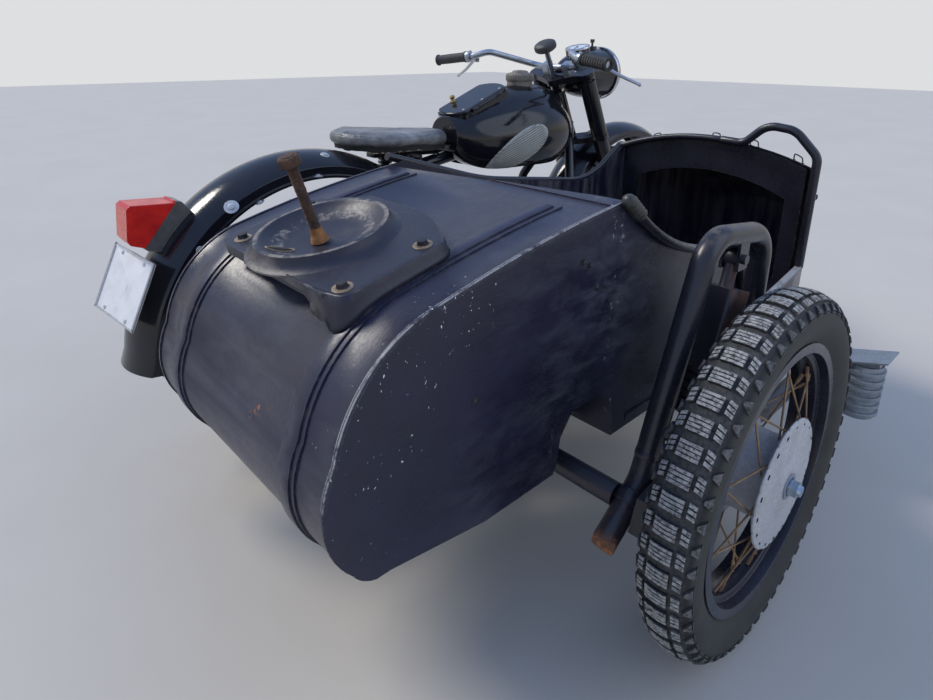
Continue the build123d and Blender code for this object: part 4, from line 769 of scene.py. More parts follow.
class Casing:
    """Collects the tyre's points, faces and the two shading values of each point."""

    def __init__(self):
        self.points, self.faces, self.worn, self.wall = [], [], [], []

    def point(self, across, along, height, worn=0.0, wall=0.0):
        self.points.append(on_tyre(across, along, height))
        self.worn.append(worn)
        self.wall.append(wall)
        return len(self.points) - 1

    def block(self, corners, low, high, inset=0.5, steps=1, worn=1.0):
        """A raised block on a four-cornered outline of (across, along) points; worn sets how pale its top is
        painted, as a painted highlight.
        """
        middle = Vector((sum(c[0] for c in corners) / 4, sum(c[1] for c in corners) / 4))
        rows = []
        for share in [i / steps for i in range(steps + 1)]:
            row = []
            for start, end in ((corners[0], corners[1]), (corners[3], corners[2])):
                spot = Vector(start).lerp(Vector(end), share)
                edge = self.point(spot.x, spot.y, low)
                brow = self.point(spot.x, spot.y, high - inset, worn * 0.3)
                inner = spot + (middle - spot).normalized() * inset
                row.append((edge, brow, self.point(inner.x, inner.y, high, worn)))
            rows.append(row)
        for (a, b), (c, d) in zip(rows, rows[1:]):
            self.faces.append((a[2], c[2], d[2], b[2]))
            for near, far in ((a, c), (d, b)):
                self.faces.append((near[0], far[0], far[1], near[1]))
                self.faces.append((near[1], far[1], far[2], near[2]))
        for first, second in ((rows[0][1], rows[0][0]), (rows[-1][0], rows[-1][1])):
            self.faces.append((first[0], second[0], second[1], first[1]))
            self.faces.append((first[1], second[1], second[2], first[2]))


def box(left, right, start, length):
    """A block's outline: its two sides across the tread, its start along it and its length."""
    return [(left, start), (right, start), (right, start + length), (left, start + length)]


def tyre_mesh():
    """Casing with a block tread: ribbed centre blocks, cut shoulder blocks and staggered edge lugs."""
    casing = Casing()
    rings = 4 * tread_pitches
    stations = [-r for r in reversed(profile_reach[1:])] + list(profile_reach)
    for ring in range(rings):
        along = ring * pitch_length / 4
        for across in stations:
            # The crown's casing gets a faint pale share: dust on the groove floors.
            casing.point(across, along, 0, 0.12 * (abs(across) < 40), 1.0 * (abs(across) > wall_start))
    count = len(stations)
    for ring in range(rings):
        here, there = ring * count, (ring + 1) % rings * count
        for i in range(count):
            j = (i + 1) % count
            casing.faces.append((here + i, there + i, there + j, here + j))
    ribs, rib_length = 4, 5.4
    for pitch in range(tread_pitches):
        start = pitch * pitch_length
        length = ribs * rib_length + (ribs - 1) * rib_gap
        # The last value of each block is its share of the pale painted highlight on its top.
        casing.block(box(-17, 17, start, length), -1, 4.4, 0.4, 6, 0.1)
        for rib in range(ribs):
            casing.block(box(-17, 17, start + rib * (rib_length + rib_gap), rib_length), 3, 6.4, 1.1, 6)
        middle = start + 0.5 * pitch_length + length / 2
        cuts = [start + cut * 8.6 for cut in range(3)]
        blocks = [([(22, low + 3), (34, low - 1), (34, low + 6),
                    (22, low + 9.6)], 6.2, 0.7, 2, 0.95) for low in cuts]
        blocks += [([(38.5, middle - 3), (51, middle - 11), (51, middle + 11),
                     (38.5, middle + 3)], 4.6, 0.5, 2, 0.35),
                     (box(53, 55, middle - 12, 24), 2.4, 0.4, 1, 0.2)]
        for side in (-1, 1):
            for outline, *shape in blocks:
                casing.block([(side * across, along) for across, along in outline][::-side], -1, *shape)
    mesh = bpy.data.meshes.new("tyre")
    mesh.from_pydata(casing.points, [], casing.faces)
    # worn carries the pale share: dust in the grooves and painted highlight on the block tops.
    for name, values in (("worn", casing.worn), ("wall", casing.wall)):
        mesh.attributes.new(name, "FLOAT", "POINT").data.foreach_set("value", values)
    work = bmesh.new()
    work.from_mesh(mesh)
    bmesh.ops.recalc_face_normals(work, faces=work.faces)
    work.to_mesh(mesh)
    work.free()
    mesh.materials.append(materials["tyre"])
    smooth(mesh, 40)
    return mesh


tread_turn = {"rear": 0.3, "front": 1.1, "sidecar": 0.0}  # so that the three tyres don't stand alike


def tyres():
    mesh = tyre_mesh()
    for wheel, (centre, _) in wheels.items():
        turned = mesh.copy()
        turned.transform(Matrix.Translation(centre) @ Matrix.Rotation(tread_turn[wheel], 4, "Y"))
        tyre = bpy.data.objects.new(wheel + "_tread", turned)
        bpy.context.scene.collection.objects.link(tyre)
        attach(tyre, wheel + "_wheel")
        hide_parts(wheel + "_tyre")


# Hubs and spokes

def hub(wheel, centre, side):
    """Cast hub with a scalloped cover disc, and 36 laced spokes with their nipples."""
    place = stand(centre, (0, side, 0))
    flange = [(10.2, -44), (52, -44), (56, -40), (97, -40), (104, -43.5), (105, -41), (104.5, -37.5),
              (84, -35), (78, -31), (77.5, 31), (84, 35), (104.5, 37.5), (105, 41), (104, 43.8), (92, 44),
              (88, 43), (20, 43.5), (10.2, 43.5), (10.2, -44)]
    made = Maker()
    made.lathe(place, flange, 72)
    scallop = lambda angle, radius: -3.4 * max(0.0, math.cos(angle * 18)) ** 8 if radius > 108 else 0.0
    disc = [(10.4, 44), (118, 44), (121.5, 45), (122, 47), (120.5, 49), (112, 50.2), (70, 52), (50, 53),
            (46, 55.4), (22, 56), (10.4, 56), (10.4, 44)]
    made.lathe(place, disc, 180, scallop)
    made.lathe(place, [(24, 53), (30, 55.9), (30, 56), (24, 56), (24, 53)], 40)
    shell = made.piece(wheel + "_hub_shell", wheel + "_wheel", "hub_metal", "aluminium", 30)
    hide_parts(wheel + "_hub")
    made = Maker()
    for number in range(18):
        slot = place @ roll(20 * number + 6) @ shift(111.5, 0, 49.7)
        made.slab(slot, (3.4, 7.5, 1.6), 0.7)
    made.piece(wheel + "_hub_slots", wheel + "_wheel", "void", "black_paint", 30)
    made = Maker()
    for number in range(36):
        end = 1 if number % 2 else -1
        lean = math.radians(34 if number % 4 < 2 else -34)
        foot = math.radians(number * 10)
        head = foot + lean
        flange_side = 41.5 * end
        out = 3.6 * end * (1 if number % 4 < 2 else -1)
        seat = polar(99, foot, flange_side + out)
        bend = polar(101, foot + lean * 0.03, flange_side + out)
        tip = polar(rim_well - 2, head, 6 * end)
        made.tube([place @ seat, place @ bend, place @ bend.lerp(tip, 0.3), place @ tip], 1.9, 8)
        made.tube([place @ Vector((seat.x, seat.y, (flange_side - out) / 1000)), place @ seat], 2.2, 8)
        made.tube([place @ tip.lerp(bend, 0.13), place @ tip.lerp(bend, 0.1), place @ tip], 3.2, 6)
    made.piece(wheel + "_spokes", wheel + "_wheel", "spoke_rust", "rusty_steel", 50)


def axle_washer():
    made = Maker()
    place = stand(at(260, -1186, axle_height), (0, -1, 0))
    made.lathe(place, [(17, 0.4), (24, 0.4), (24, 2.6), (17, 2.6), (17, 0.4)], 40)
    made.piece("axle_washer", "machine", "zinc", "zinc_steel")


# Fender, lamp and plate

def bolt(made, point, axis, head, washer, height):
    """A domed bolt head on a washer, standing on a surface."""
    place = stand(point, axis)
    made.lathe(place, [(0, -1), (washer, -1), (washer, 0.9), (washer - 0.6, 1.4), (head + 0.4, 1.4),
                       (0, 1.4)], 28)
    dome = [(head, 1), (head, 1.6), (head * 0.86, height - 0.8), (head * 0.5, height), (0, height + 0.3)]
    made.lathe(place, dome, 24)


def fender_bolts():
    made = Maker()
    bolts = ((282, 151, 9, 17), (325, 155, 8, 12), (318, 176, 7, 13), (316, 183, 5, 8), (200, 250, 7, 9))
    for across, down, head, washer in bolts:
        point, normal = seen("rear_fender", across, down)
        bolt(made, point, normal, head, washer, 5)
    for x, z in ((-160, 760), (60, 815), (200, 770)):
        point, normal = hit("rear_fender", at(x, 200, z - 40), (0, -1, 0))
        bolt(made, point, normal, 6, 11, 4)
    made.piece("fender_bolts", "machine", "bolt_zinc", "zinc_steel")


def plate_trim():
    """Raised bright edge and two screws on the blank plate."""
    out = Vector((math.cos(math.radians(155)), 0, math.sin(math.radians(155))))
    middle = at(505 * math.cos(math.radians(154.5)), 0, 345 + 505 * math.sin(math.radians(154.5)))
    down = out.cross(Vector((0, 1, 0)))
    basis = Matrix((Vector((0, 1, 0)), down, out)).transposed().to_4x4()
    place = Matrix.Translation(middle) @ basis @ roll(-8, "Y")
    made = Maker()
    for side in (1, -1):
        made.slab(place @ shift(side * 92.5, 0, 1.8), (5, 156, 2.4), 0.9)
        made.slab(place @ shift(0, side * 75.5, 1.8), (190, 5, 2.4), 0.9)
        for x in (-52, 52):
            bolt(made, spot(place, x, side * 66, 1.2), place.to_3x3() @ up, 3.6, 5.4, 2.4)
    made.piece("plate_trim", "machine", "bolt_zinc", "zinc_steel")


def carrier_details():
    """Threaded spare-wheel bolt, corner bolts on worn rings, and the torn slot in the bowl."""
    lean = carrier @ shift(-32, -8, 1.3) @ roll(-6, "Y")
    made = Maker()
    profile = [(0, 0), (8.6, 0)]
    for ridge in range(52):
        low = 1 + ridge * 2.45
        reach = 8.9 - 0.5 * abs(math.sin(ridge * 0.7))
        profile += [(reach - 0.8, low), (reach, low + 1.2)]
    made.lathe(lean, profile + [(8.4, 130), (0, 130)], 24)
    made.hexagon(lean, 18, 129, 145, 2.0)
    made.lathe(lean, [(0, 144.5), (11, 144.5), (10, 146.4), (0, 146.8)], 24)
    screw = made.piece("carrier_screw", "machine", "rust", "rusty_steel")
    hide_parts("carrier_bolt")
    made = Maker()
    ragged = lambda angle, radius: 1.6 * wander(Vector((math.cos(angle) * 2, math.sin(angle) * 2, radius)))
    made.lathe(lean, [(8.2, 2), (15, 2), (14, 7), (11.4, 11), (9.6, 18), (8.6, 26), (8.2, 26)], 40, ragged)
    made.piece("screw_foot", "machine", "orange_rust", "rusty_steel")
    rings, heads = Maker(), Maker()
    for x, y in ((-99, -171), (41, -171), (-99, 125), (41, 137)):
        place = carrier @ shift(x, y, 0)
        rings.lathe(place, [(8.6, 2.8), (15, 2.8), (15, 3.8), (13.6, 5.0), (9.5, 5.2), (8.6, 5.0)], 36)
        heads.hexagon(place, 8.4, 6.5, 12.2, 1.0)
    rings.piece("carrier_rings", "machine", "tan_metal", "rusty_steel")
    heads.piece("carrier_heads", "machine", "black_steel", "black_paint")
    middle, normal = hit("carrier_plate", spot(carrier, -78, 14, 60), (0, 0, -1))
    across = (camera_turn() @ Vector((1, 0, 0))).cross(normal).cross(normal) * -1
    across.normalize()
    deep = normal.cross(across)
    hole, edge = Maker(), Maker()
    count, inner, outer, lip = 40, [], [], []
    for i in range(count):
        turn = 2 * math.pi * i / count
        jag = 1 + 0.1 * wander(Vector((math.cos(turn) * 3, math.sin(turn) * 3, 7)))
        reach = across * (0.0205 * jag * math.cos(turn)) + deep * (0.0075 * jag * math.sin(turn))
        for row, grow, lift in ((inner, 1.0, 0.0007), (outer, 1.16, 0.0004), (lip, 1.07, 0.0022)):
            point, _ = hit("carrier_plate", middle + reach * grow + up * 0.03, -up)
            row.append(point + up * lift)
    hole.work.faces.new([hole.work.verts.new(point) for point in inner])
    edge.rows([[edge.work.verts.new(point) for point in row] for row in (inner, lip, outer)])
    hole.piece("carrier_slot", "machine", "void", "black_paint")
    edge.piece("carrier_slot_edge", "machine", "tan_metal", "rusty_steel")


def carrier_skirt():
    """The plate's right edge and corners, pressed down to the deck."""
    made = Maker()
    edge = [(-112, 60), (-122, 0), (-125, -60), (-124, -120), (-116, -176), (-105, -192), (-80, -193),
            (0, -193), (52, -192), (68, -184), (86, -160), (104, -128)]
    line = smooth_line([Vector((x, y, 0)) for x, y in edge], 6)
    rows = [[] for _ in range(5)]
    for i, point in enumerate(line):
        share = i / (len(line) - 1)
        out = (line[min(i + 1, len(line) - 1)] - line[max(i - 1, 0)]).cross(up).normalized()
        top = spot(carrier, point.x - out.x * 2.5, point.y - out.y * 2.5, 3.2)
        reach = out * (0.011 if 0.3 < share < 0.9 else 0.004)
        foot, _ = hit("sidecar_body", top + reach + up * 0.02, (0, 0, -1))
        wave = 0.5 + 0.5 * wander(Vector((share * 9, 2, 5)))
        end = 0.36 if share < 0.5 else 0.9
        drop = 1.0 if 0.36 < share < 0.9 else max(0.2, 1 - 8 * abs(share - end)) * (0.6 + 0.4 * wave)
        for row, (level, push) in zip(rows, ((0, 0.0), (0.05, 0.35), (0.35, 0.6), (0.8, 0.85), (1.0, 1.15))):
            down = top.lerp(Vector((top.x, top.y, foot.z + 0.0012)), level * drop)
            row.append(made.work.verts.new(down + reach * push))
    made.rows(rows, closed=False)
    skirt = made.mesh("carrier_skirt")
    piece = piece_of("carrier_skirt", skirt, "machine", "carrier_paint", 50)
    solid = piece.modifiers.new("thick", "SOLIDIFY")
    solid.thickness = 0.0022
    solid.offset = 0


lid = Matrix.Translation(at(627, 0, 914)) @ roll(-21, "Y")


def tank_details():
    """Filler cap with a knurled rim, brass lid knob, screws, and the ribbed knee pads."""
    made = Maker()
    low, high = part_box("filler_cap")
    place = Matrix.Translation(Vector(((low.x + high.x) / 2, (low.y + high.y) / 2, high.z - 0.064)))
    knurl = lambda angle, radius: -1.3 * (0.5 + 0.5 * math.cos(angle * 40)) if radius > 46 else 0.0
    made.lathe(place, [(0, 4), (40, 4), (43, 8), (43, 27), (46.6, 30), (47.6, 33), (47.8, 45), (47.0, 49),
                       (43, 52), (40, 51), (37, 54.5), (28, 56), (26, 60), (19, 62.6), (8, 63.6),
                       (0, 63.8)], 160, knurl)
    cap = made.piece("filler_lid", "machine", "cap_metal", "rusty_steel")
    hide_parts("filler_cap")
    made = Maker()
    knob = lid @ shift(-40, 46, 12)
    made.lathe(knob, [(0, 0), (10, 0), (10, 4), (7, 7), (6, 11), (8.6, 14.5), (8.8, 18), (6, 21.4),
                      (0, 22.2)], 32)
    made.piece("lid_knob", "tool_lid", "brass", "rusty_steel")
    made = Maker()
    for x, y in ((78, -50), (-6, -52), (-84, -44)):
        made.lathe(lid @ shift(x, y, 12.2), [(0, 0), (4, 0), (3.4, 1.6), (0, 2.2)], 20)
    made.piece("lid_screws", "tool_lid", "bolt_zinc", "zinc_steel")
    for side, name in ((1, "left"), (-1, "right")):
        made = Maker()
        long = Vector((math.cos(pad_tilt), 0, math.sin(pad_tilt)))
        short = Vector((-math.sin(pad_tilt), 0, math.cos(pad_tilt)))
        rings, spokes, rows = 40, 132, []
        for ring in range(rings + 1):
            reach, row = ring / rings, []
            for i in range(spokes):
                turn = 2 * math.pi * i / spokes
                u, v = 126 * reach * math.cos(turn), 54 * reach * math.sin(turn)
                rim = min(1.0, (1 - reach) / 0.05)
                field = 1.0 if reach > 0.88 else 0.6 + 0.3 * math.cos(2 * math.pi * (v + 0.12 * u) / 7.5)
                outside = at(pad_middle[0], side * 260, pad_middle[1]) + (long * u + short * v) / 1000
                point, _ = hit("fuel_tank", outside, (0, -side, 0))
                lift = 5.2 * field * math.sqrt(max(0.0, rim)) - (0.8 if reach == 1 else 0.0)
                row.append(made.work.verts.new(point + Vector((0, side * lift / 1000, 0))))
                if ring == 0:
                    break
            rows.append(row)
        made.rows(rows)
        pad = made.piece("knee_pad_" + name, "machine", "pad_rubber", "rubber", 50)
        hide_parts("knee_pads")


head_axis = Vector((-math.sin(rake), 0, math.cos(rake)))
head_foot = 1526.0  # where the axis meets the ground


def head_x(height):
    """How far ahead the steering axis is at a height, in design millimetres."""
    return head_foot - height * math.tan(rake)


def bar_details():
    """Grips, clamps and levers in place of the plain controls, and the ribbed damper knob."""
    bar_x = head_x(968) + 14
    for side, name in ((1, "left"), (-1, "right")):
        tip, root = at(bar_x - 235, side * 372, 1032), at(bar_x - 194, side * 229, 1048.4)
        along = (root - tip).normalized()
        place = stand(tip, along)
        made = Maker()
        if side > 0:
            grip = [(11.1, -1), (11.1, -6), (19.4, -6), (20, -4), (20, -0.5), (18, 1.5), (16.6, 5),
                    (17.2, 40), (17.0, 100), (17.4, 111), (19.6, 113), (19.8, 117), (17, 118), (11.1, 118)]
            made.lathe(place, grip, 48)
        else:
            ribs = [(11.1, -1), (11.1, -6), (19, -6), (20, -4), (20, -1)]
            for ring in range(9):
                low = 2 + ring * 11.5
                ribs += [(16.2, low), (16.2, low + 1.2), (18.4, low + 1.8), (18.6, low + 9.6),
                         (18.2, low + 10.2)]
            ribs += [(16.5, 107), (20.4, 108), (20.8, 112), (20.4, 117), (11.1, 118)]
            ridge = lambda angle, radius: 0.5 * math.cos(angle * 24) if 18 < radius < 19 else 0.0
            made.lathe(place, ribs, 96, ridge)
        skin = made.piece("grip_" + name, "steering", "grip_rubber" if side > 0 else "rubber", "rubber")
        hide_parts("hand_controls")
        made = Maker()
        made.lathe(place, [(11.1, 120), (18.4, 120), (19, 122), (19, 135), (18.4, 137), (11.1, 137)], 36)
        perch = tip + along * 0.130
        front = perch + Vector((0.040, 0, -0.008))
        arm = [perch + Vector((0.010, 0, 0.001)), perch + Vector((0.026, 0, -0.003)), front]
        made.tube(smooth_line(arm, 4), 8.5, 16)
        made.hexagon(stand(front + Vector((0, 0, -0.012)), up), 8, 0, 24, 1.2)
        for drop in (-1, 1):
            made.lathe(stand(perch + Vector((0, 0, 0.017 * drop)) + along * 0.004 * drop, (0, 0, drop)),
                       [(0, 0), (4, 0), (4, 3), (3, 4), (0, 4)], 18)
        made.piece("perch_" + name, "steering", "zinc", "zinc_steel")
        made = Maker()
        end = at(bar_x - 107, side * 404, 972)
        middle = (front + Vector((0.008, side * 0.030, -0.007))).lerp(end, 0.5) + Vector((0.004, 0, -0.003))
        line = smooth_line([front + Vector((0.004, 0, -0.002)), front + Vector((0.011, side * 0.030, -0.008)),
                            middle, end], 10)
        taper = lambda share: 7.0 - 2.4 * share
        made.tube(line, taper, 16)
        ball = stand(end, end - line[-2])
        made.lathe(ball, [(0, -6), (4.4, -5), (6.0, -1), (5.6, 3), (3.4, 5.4), (0, 6)], 20)
        made.piece("lever_" + name, "steering", "lever_metal", "zinc_steel")
    made = Maker()
    knob = stand(at(head_x(968), 0, 968) + head_axis * 0.128, head_axis)
    fluted = lambda angle, radius: -1.8 * (0.5 + 0.5 * math.cos(angle * 30)) if radius > 36 else 0.0
    made.lathe(knob, [(9.2, -14), (31, -13.6), (36.4, -10), (38.6, -6), (38.8, 5), (36.6, 10), (29, 14.6),
                      (20, 17.2), (0, 18.6)], 180, fluted)
    made.piece("damper_knob", "steering", "knob_plastic", "rubber")


def lamp_details():
    """Instrument face with its ring, hand and marks, the lamp glass and its bright rim."""
    back = head_x(985) + 62
    dial = Matrix.Translation(at(back + 0.34 * 225, 0, 985 + 0.86 * 92)) @ roll(-14, "Y")
    made = Maker()
    made.lathe(dial, [(37, 14.8), (37, 18.2), (39.5, 19.6), (44, 18.6), (45.6, 15.5), (45.6, 12.5),
                      (44.2, 11.5), (44.2, 14.8), (37, 14.8)], 64)
    made.piece("dial_ring", "steering", "chrome", "chrome")
    made = Maker()
    made.lathe(dial, [(0, 16.2), (37.2, 16.2), (37.2, 17.0), (20, 17.6), (0, 17.8)], 48)
    made.piece("dial_face", "steering", "dial_glass", "plate_white")
    made = Maker()
    for mark in range(13):
        size = (1.4, 5.5, 0.7) if mark % 2 == 0 else (0.9, 3.2, 0.7)
        made.slab(dial @ roll(-30 + 20 * mark) @ shift(0, 31, 17.6), size, 0.2)
    hand = dial @ roll(100) @ shift(0, 12, 18.6)
    made.slab(hand, (1.4, 28, 0.7), 0.2)
    made.lathe(dial, [(0, 17.4), (3.4, 17.4), (3.0, 20), (0, 20.6)], 20)
    made.piece("dial_marks", "steering", "void", "black_paint")
    nose = stand(at(back, 0, 985), (1, 0, 0))
    made = Maker()
    made.lathe(nose, [(88, 200), (96.4, 200.5), (98, 205), (97.6, 216), (95, 221.5), (88, 224),
                      (85, 222.4), (88, 200)], 96)
    made.piece("lamp_rim", "steering", "chrome", "chrome")
    made = Maker()
    made.lathe(nose, [(86.5, 221), (86, 223.5), (78, 230.4), (62, 237.4), (40, 242.0), (20, 243.6),
                      (0, 244)], 96)
    made.piece("lamp_glass", "steering", "lamp_glass", "chrome")


def body_details():
    """Small bolts, wire loops and hooks for the cover, the crumpled wrap at the beading's end, and welds."""
    made = Maker()
    for across, down, head in ((583, 262, 4.4), (589, 265, 3.4)):
        point, normal = seen("sidecar_body", across, down)
        bolt(made, point, normal, head, head + 2.2, 5)
    for x, z in ((1040, 560), (1120, 470), (30, 700), (-250, 600)):
        point, normal = hit("sidecar_body", at(x, -1200, z), (0, 1, 0))
        bolt(made, point, normal, 4, 6.5, 3)
    made.piece("panel_bolts", "machine", "black_steel", "black_paint")
    made = Maker()
    for across, down in ((658, 137), (717, 135), (755, 141), (800, 151)):
        ray = sight(across, down)
        far = (at(978, 0, 0).x - camera_place.x) / ray.x
        over = camera_place + ray * far
        feet = []
        for shift in (-0.011, 0.011):
            foot, _ = hit("sidecar_body", Vector((over.x, over.y + shift, over.z + 0.2)), (0, 0, -1))
            feet.append(foot)
        rise = Vector((-0.004, 0, 0.016))
        top = [feet[0] - up * 0.002, feet[0] + rise * 0.55, feet[0] + rise + Vector((0, 0.003, 0)),
               feet[1] + rise - Vector((0, 0.003, 0)), feet[1] + rise * 0.55, feet[1] - up * 0.002]
        made.tube(smooth_line(top, 5), 1.7, 8)
        for foot in feet:
            made.lathe(stand(foot, up), [(0, 0), (4.5, 0), (4.2, 1), (0, 1.6)], 16)
    for x, z in ((969, 532), (1034, 690)):
        foot, normal = hit("sidecar_body", at(x, -1200, z), (0, 1, 0))
        out = Vector((0, -1, 0))
        made.tube(smooth_line([foot - out * 0.001, foot + out * 0.008, foot + out * 0.013 + up * 0.005,
                               foot + out * 0.012 + up * 0.014], 5), 2.2, 8)
    made.piece("cover_loops", "machine", "black_steel", "black_paint")
    made = Maker()
    lumpy = lambda angle, radius: 1.3 * wander(Vector((1.6 * math.cos(angle), 1.6 * math.sin(angle), radius * 3)))
    wrap = stand(at(92, -924.3, 836.5), (0.78, 0, -0.62))
    profile = [(0, -15), (4, -14.4), (8, -12.4), (10.6, -9), (12, -5)]
    for ring in range(14):
        profile.append((12.4 + 0.8 * math.sin(ring * 2.1), -2 + ring * 3.6))
    made.lathe(wrap, profile + [(9.0, 48)], 40, lumpy)
    made.piece("beading_wrap", "machine", "wrap_hide", "black_paint", 60)
    made = Maker()
    weld = lambda angle, radius: 0.7 * wander(Vector((math.cos(angle) * 5, math.sin(angle) * 5, radius)))
    made.lathe(stand(at(14, hoop_side, 354.9), (106, 0, 76)),
               [(20.6, -13), (22.6, -12), (23.6, -4), (23.8, 3), (22.8, 10), (20.6, 12)], 60, weld)
    made.lathe(stand(at(60, hoop_side, 420), (144, 0, 400)),
               [(20.6, -7), (22.2, -5), (22.6, 0), (22.0, 5), (20.6, 7)], 60, weld)
    made.piece("hoop_welds", "machine", "chassis_paint", "chassis_paint")


# Cushions: a closed form, softened by a short cloth simulation, then given its sewn lines

cloth_frames = 20  # long enough for the cloth to fill out


def evaluated(piece):
    graph = bpy.context.evaluated_depsgraph_get()
    return bpy.data.meshes.new_from_object(piece.evaluated_get(graph))


def cushion(name, mesh, voxel, cap, material, sewn, replaced):
    """A padded piece from a closed mesh: cap is the cloth's longest move, sewn how far a point is pulled in."""
    scene = bpy.context.scene
    work = bpy.data.objects.new(name + "_work", mesh)
    scene.collection.objects.link(work)
    remesh = work.modifiers.new("remesh", "REMESH")
    remesh.mode = "VOXEL"
    remesh.voxel_size = voxel
    start = evaluated(work)
    work.modifiers.clear()
    work.data = start
    cloth = work.modifiers.new("cloth", "CLOTH")
    cloth.settings.quality = 5
    cloth.settings.mass = 0.3
    cloth.settings.tension_stiffness = 12
    cloth.settings.compression_stiffness = 6
    cloth.settings.bending_stiffness = 0.6
    cloth.settings.use_pressure = True
    cloth.settings.uniform_pressure_force = 4
    cloth.settings.effector_weights.gravity = 0
    for step in range(1, cloth_frames + 1):
        scene.frame_set(step)
    puffed = evaluated(work)
    work.modifiers.clear()
    for before, after in zip(start.vertices, puffed.vertices):
        move = after.co - before.co
        if move.length > cap:
            move *= cap / move.length
        before.co += move
    scene.frame_set(1)
    soft = work.modifiers.new("smooth", "SMOOTH")
    soft.iterations = 6
    fine = work.modifiers.new("fine", "SUBSURF")
    fine.levels = fine.render_levels = 1
    done = evaluated(work)
    bpy.data.objects.remove(work)
    for vertex, normal in [(v, v.normal.copy()) for v in done.vertices]:
        vertex.co -= normal * sewn(vertex.co, normal)
    piece = piece_of(name, done, "machine", material, 60)
    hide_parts(replaced)
    return piece


def rounded_slab(rows):
    """A closed mesh through rings of the same number of points."""
    made = Maker()
    rings = [[made.work.verts.new(point) for point in row] for row in rows]
    made.rows(rings)
    made.work.faces.new(rings[0][::-1])
    made.work.faces.new(rings[-1])
    return made.mesh("slab")


def squircle(half_x, half_y, power, count=64):
    points = []
    for i in range(count):
        turn = 2 * math.pi * i / count
        points.append([half * math.copysign(abs(share) ** (2 / power), share)
                       for half, share in ((half_x, math.cos(turn)), (half_y, math.sin(turn)))])
    return points


def seats():
    """Sidecar seat: a crowned cushion and a leaning backrest, both with sewn channels."""
    low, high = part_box("seat_cushion")
    middle, size = (low + high) / 2, high - low
    rows = []
    for height, share, power in ((0.0, 0.97, 9), (0.16, 0.985, 8), (0.5, 0.98, 8), (0.72, 0.97, 8),
                                 (0.86, 0.94, 7), (0.92, 0.84, 6)):
        plan = squircle(size.x / 2 * share, size.y / 2 * share, power)
        rows.append([Vector((middle.x + x, middle.y + y, low.z + height * size.z)) for x, y in plan])

    def channels(point, normal):
        if normal.z < 0.5:
            return 0.0
        away, half = point - middle, size / 2
        ahead, aside = abs(away.x), abs(away.y)
        gap = abs(away.y / 0.1 - round(away.y / 0.1)) * 0.1
        edge = min(abs(aside - (half.y - 0.045)), abs(ahead - (half.x - 0.045)))
        inside = ahead < half.x - 0.045 and aside < half.y - 0.04
        groove = 0.008 * math.exp(-(gap / 0.006) ** 2) if inside else 0.0
        border = 0.006 * math.exp(-(edge / 0.005) ** 2) if ahead < half.x - 0.03 else 0.0
        return max(groove, border)

    cushion("seat_pad", rounded_slab(rows), 0.009, 0.010, "seat", channels, "seat_cushion")
    low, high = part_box("seat_backrest")
    foot_rear, lean, tall = low.x + 0.040, -0.040, high.z - low.z
    width, deep = high.y - low.y, 0.066
    centre_y = (low.y + high.y) / 2
    rows = []
    for share, grow, power in ((0.02, 0.86, 5), (0.04, 0.95, 7), (0.12, 0.975, 8), (0.5, 0.985, 8),
                               (0.88, 0.97, 8), (0.96, 0.94, 6), (0.985, 0.84, 5)):
        plan = squircle(deep / 2 * grow, width / 2 * grow, power)
        centre = foot_rear + deep / 2 + lean * share
        rows.append([Vector((centre + x, centre_y + y, low.z + share * tall)) for x, y in plan])

    def pleats(point, normal):
        across = (point.y - centre_y) / 0.082
        gap = abs(across - round(across)) * 0.082
        inside = abs(point.y - centre_y) < width / 2 - 0.04 and low.z + 0.05 < point.z < high.z - 0.05
        return 0.008 * math.exp(-(gap / 0.006) ** 2) if inside and normal.x > 0.5 else 0.0

    cushion("back_pad", rounded_slab(rows), 0.009, 0.010, "seat", pleats, "seat_backrest")


def saddle_line(margin):
    """Plan of the saddle, in design millimetres: a broad rear and a narrow nose."""
    m = margin
    half = [(106 + m, 0), (116 + m, 55), (150 + m, 100), (176, 128 - m), (205, 142 - m), (250, 136 - m),
            (298, 120 - m), (380, 92 - m), (462, 62 - m), (490 - m * 0.6, 38), (504 - m, 0)]
    line = half + [(x, -y) for x, y in half[-2:0:-1]]
    closed = [Vector((x, y, 0)) for x, y in line]
    return curve(closed[-1:] + closed + closed[:2], 4)


def saddle_low(x):
    return 824 - 8 * (x - 100) / 200 if x < 300 else 816 - 26 * (x - 300) / 210


def saddle_top(x):
    share = (x - 100) / 410
    return 862 - 26 * share - 12 * share * (1 - share)


def saddle_details():
    """Leather cover with its rolled side, in a grey that is painted sheen over dark leather, over a dark ragged
    pan with a torn edge.
    """
    rows = []
    for margin, lift in ((26, 0.05), (9, 0.1), (5, 0.35), (5, 0.62), (11, 0.86), (26, 0.93), (58, 0.95)):
        rows.append([at(p.x, p.y, saddle_low(p.x) + lift * (saddle_top(p.x) - saddle_low(p.x)))
                     for p in saddle_line(margin)])

    def seams(point, normal):
        place = (point - home) * 1000
        ring = 0.0016 if abs(normal.z - 0.62) < 0.05 else 0.0
        nose = 0.002 * math.exp(-(abs(place.y) / 5) ** 2) if normal.z > 0.8 and place.x > 260 else 0.0
        return ring + 0.0012 * wander(point * 40) + nose

    cushion("saddle_cover", rounded_slab(rows), 0.006, 0.006, "saddle", seams, "saddle")
    made = Maker()
    upper, lower = [], []
    for i, point in enumerate(saddle_line(24)):
        ragged = 10 * abs(wander(Vector((i * 0.35, 3, 1)))) + 5 * abs(wander(Vector((i * 1.1, 8, 2))))
        base = saddle_low(point.x) + 6
        upper.append(made.work.verts.new(at(point.x, point.y, base)))
        lower.append(made.work.verts.new(at(point.x * 0.985 + 4, point.y * 0.96, base - 17 - ragged)))
    inner = [made.work.verts.new(at(p.x, p.y, saddle_low(p.x) - 4)) for p in saddle_line(40)]
    made.rows([upper, lower, inner])
    made.work.faces.new(inner)
    made.work.faces.new(upper)
    made.piece("saddle_pan", "machine", "pan_hide", "rubber", 60)


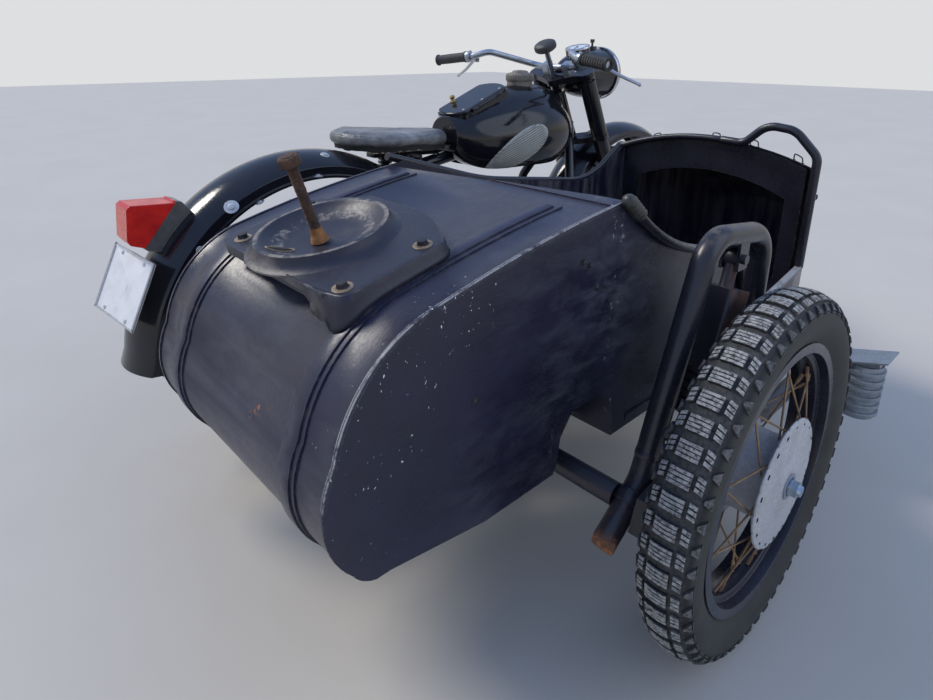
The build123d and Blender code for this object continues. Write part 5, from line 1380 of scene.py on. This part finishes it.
tyres()
for wheel_name, (wheel_centre, wheel_side) in wheels.items():
    hub(wheel_name, wheel_centre, wheel_side)
axle_washer()
fender_bolts()
plate_trim()
carrier_details()
carrier_skirt()
tank_details()
bar_details()
lamp_details()
body_details()
seats()
saddle_details()


def sky_and_floor():
    """Pale floor, a soft sky that is bluer overhead, and two soft suns."""
    world = bpy.data.worlds.new("studio")
    bpy.context.scene.world = world
    world.use_nodes = True
    tree_nodes, links = world.node_tree.nodes, world.node_tree.links
    place = tree_nodes.new("ShaderNodeTexCoord")
    split = tree_nodes.new("ShaderNodeSeparateXYZ")
    links.new(place.outputs["Generated"], split.inputs[0])
    ramp = tree_nodes.new("ShaderNodeValToRGB")
    links.new(split.outputs["Z"], ramp.inputs[0])
    stops = ((0.0, (0.62, 0.58, 0.5, 1)), (0.12, (0.85, 0.84, 0.82, 1)), (0.32, (0.42, 0.57, 0.9, 1)),
             (1.0, (0.28, 0.44, 0.84, 1)))
    while len(ramp.color_ramp.elements) < len(stops):
        ramp.color_ramp.elements.new(0.5)
    for element, (share, colour) in zip(ramp.color_ramp.elements, stops):
        element.position = share
        element.color = colour
    ray = tree_nodes.new("ShaderNodeLightPath")
    mixer = tree_nodes.new("ShaderNodeMix")
    mixer.data_type = "RGBA"
    links.new(ray.outputs["Is Camera Ray"], mixer.inputs[0])
    links.new(ramp.outputs["Color"], mixer.inputs[6])
    mixer.inputs[7].default_value = (0.86, 0.87, 0.88, 1)
    links.new(mixer.outputs[2], tree_nodes["Background"].inputs["Color"])
    tree_nodes["Background"].inputs["Strength"].default_value = 0.85
    bpy.ops.mesh.primitive_plane_add(size=40, location=(0, 0, -0.0005))
    floor = bpy.context.object
    floor.name = "floor"
    s = Shader("floor")
    cloud = s.noise(1.5, 6, 0.6)
    s.set(base_color=s.mix(cloud, (0.54, 0.5, 0.44, 1), (0.62, 0.575, 0.51, 1)), roughness=0.9)
    s.surface.inputs["Specular IOR Level"].default_value = 0.1
    floor.data.materials.append(s.material)
    lamps = (("key", (-2.2, 4.0, 4.4), 0.3, 2.1, (1.0, 0.95, 0.86)),
             ("fill", (2.4, -4.4, 3.4), 0.9, 0.5, (0.92, 0.96, 1.0)))
    for name, spot_from, angle, power, colour in lamps:
        data = bpy.data.lights.new(name, "SUN")
        data.angle = angle
        data.energy = power
        data.color = colour
        lamp = bpy.data.objects.new(name, data)
        lamp.location = spot_from
        lamp.rotation_mode = "QUATERNION"
        lamp.rotation_quaternion = (-Vector(spot_from)).to_track_quat("-Z", "Y")
        bpy.context.scene.collection.objects.link(lamp)


def photo_camera():
    data = bpy.data.cameras.new("photo")
    data.sensor_width = sensor
    data.lens = focal_pixels / image_width * sensor
    data.shift_x = -principal_right / image_width
    data.shift_y = -principal_up / image_width
    camera = bpy.data.objects.new("photo", data)
    camera.location = camera_place
    camera.rotation_mode = "QUATERNION"
    camera.rotation_quaternion = camera_turn()
    bpy.context.scene.collection.objects.link(camera)
    bpy.context.scene.camera = camera


photo_camera()
sky_and_floor()
bpy.context.scene.view_settings.view_transform = "Standard"
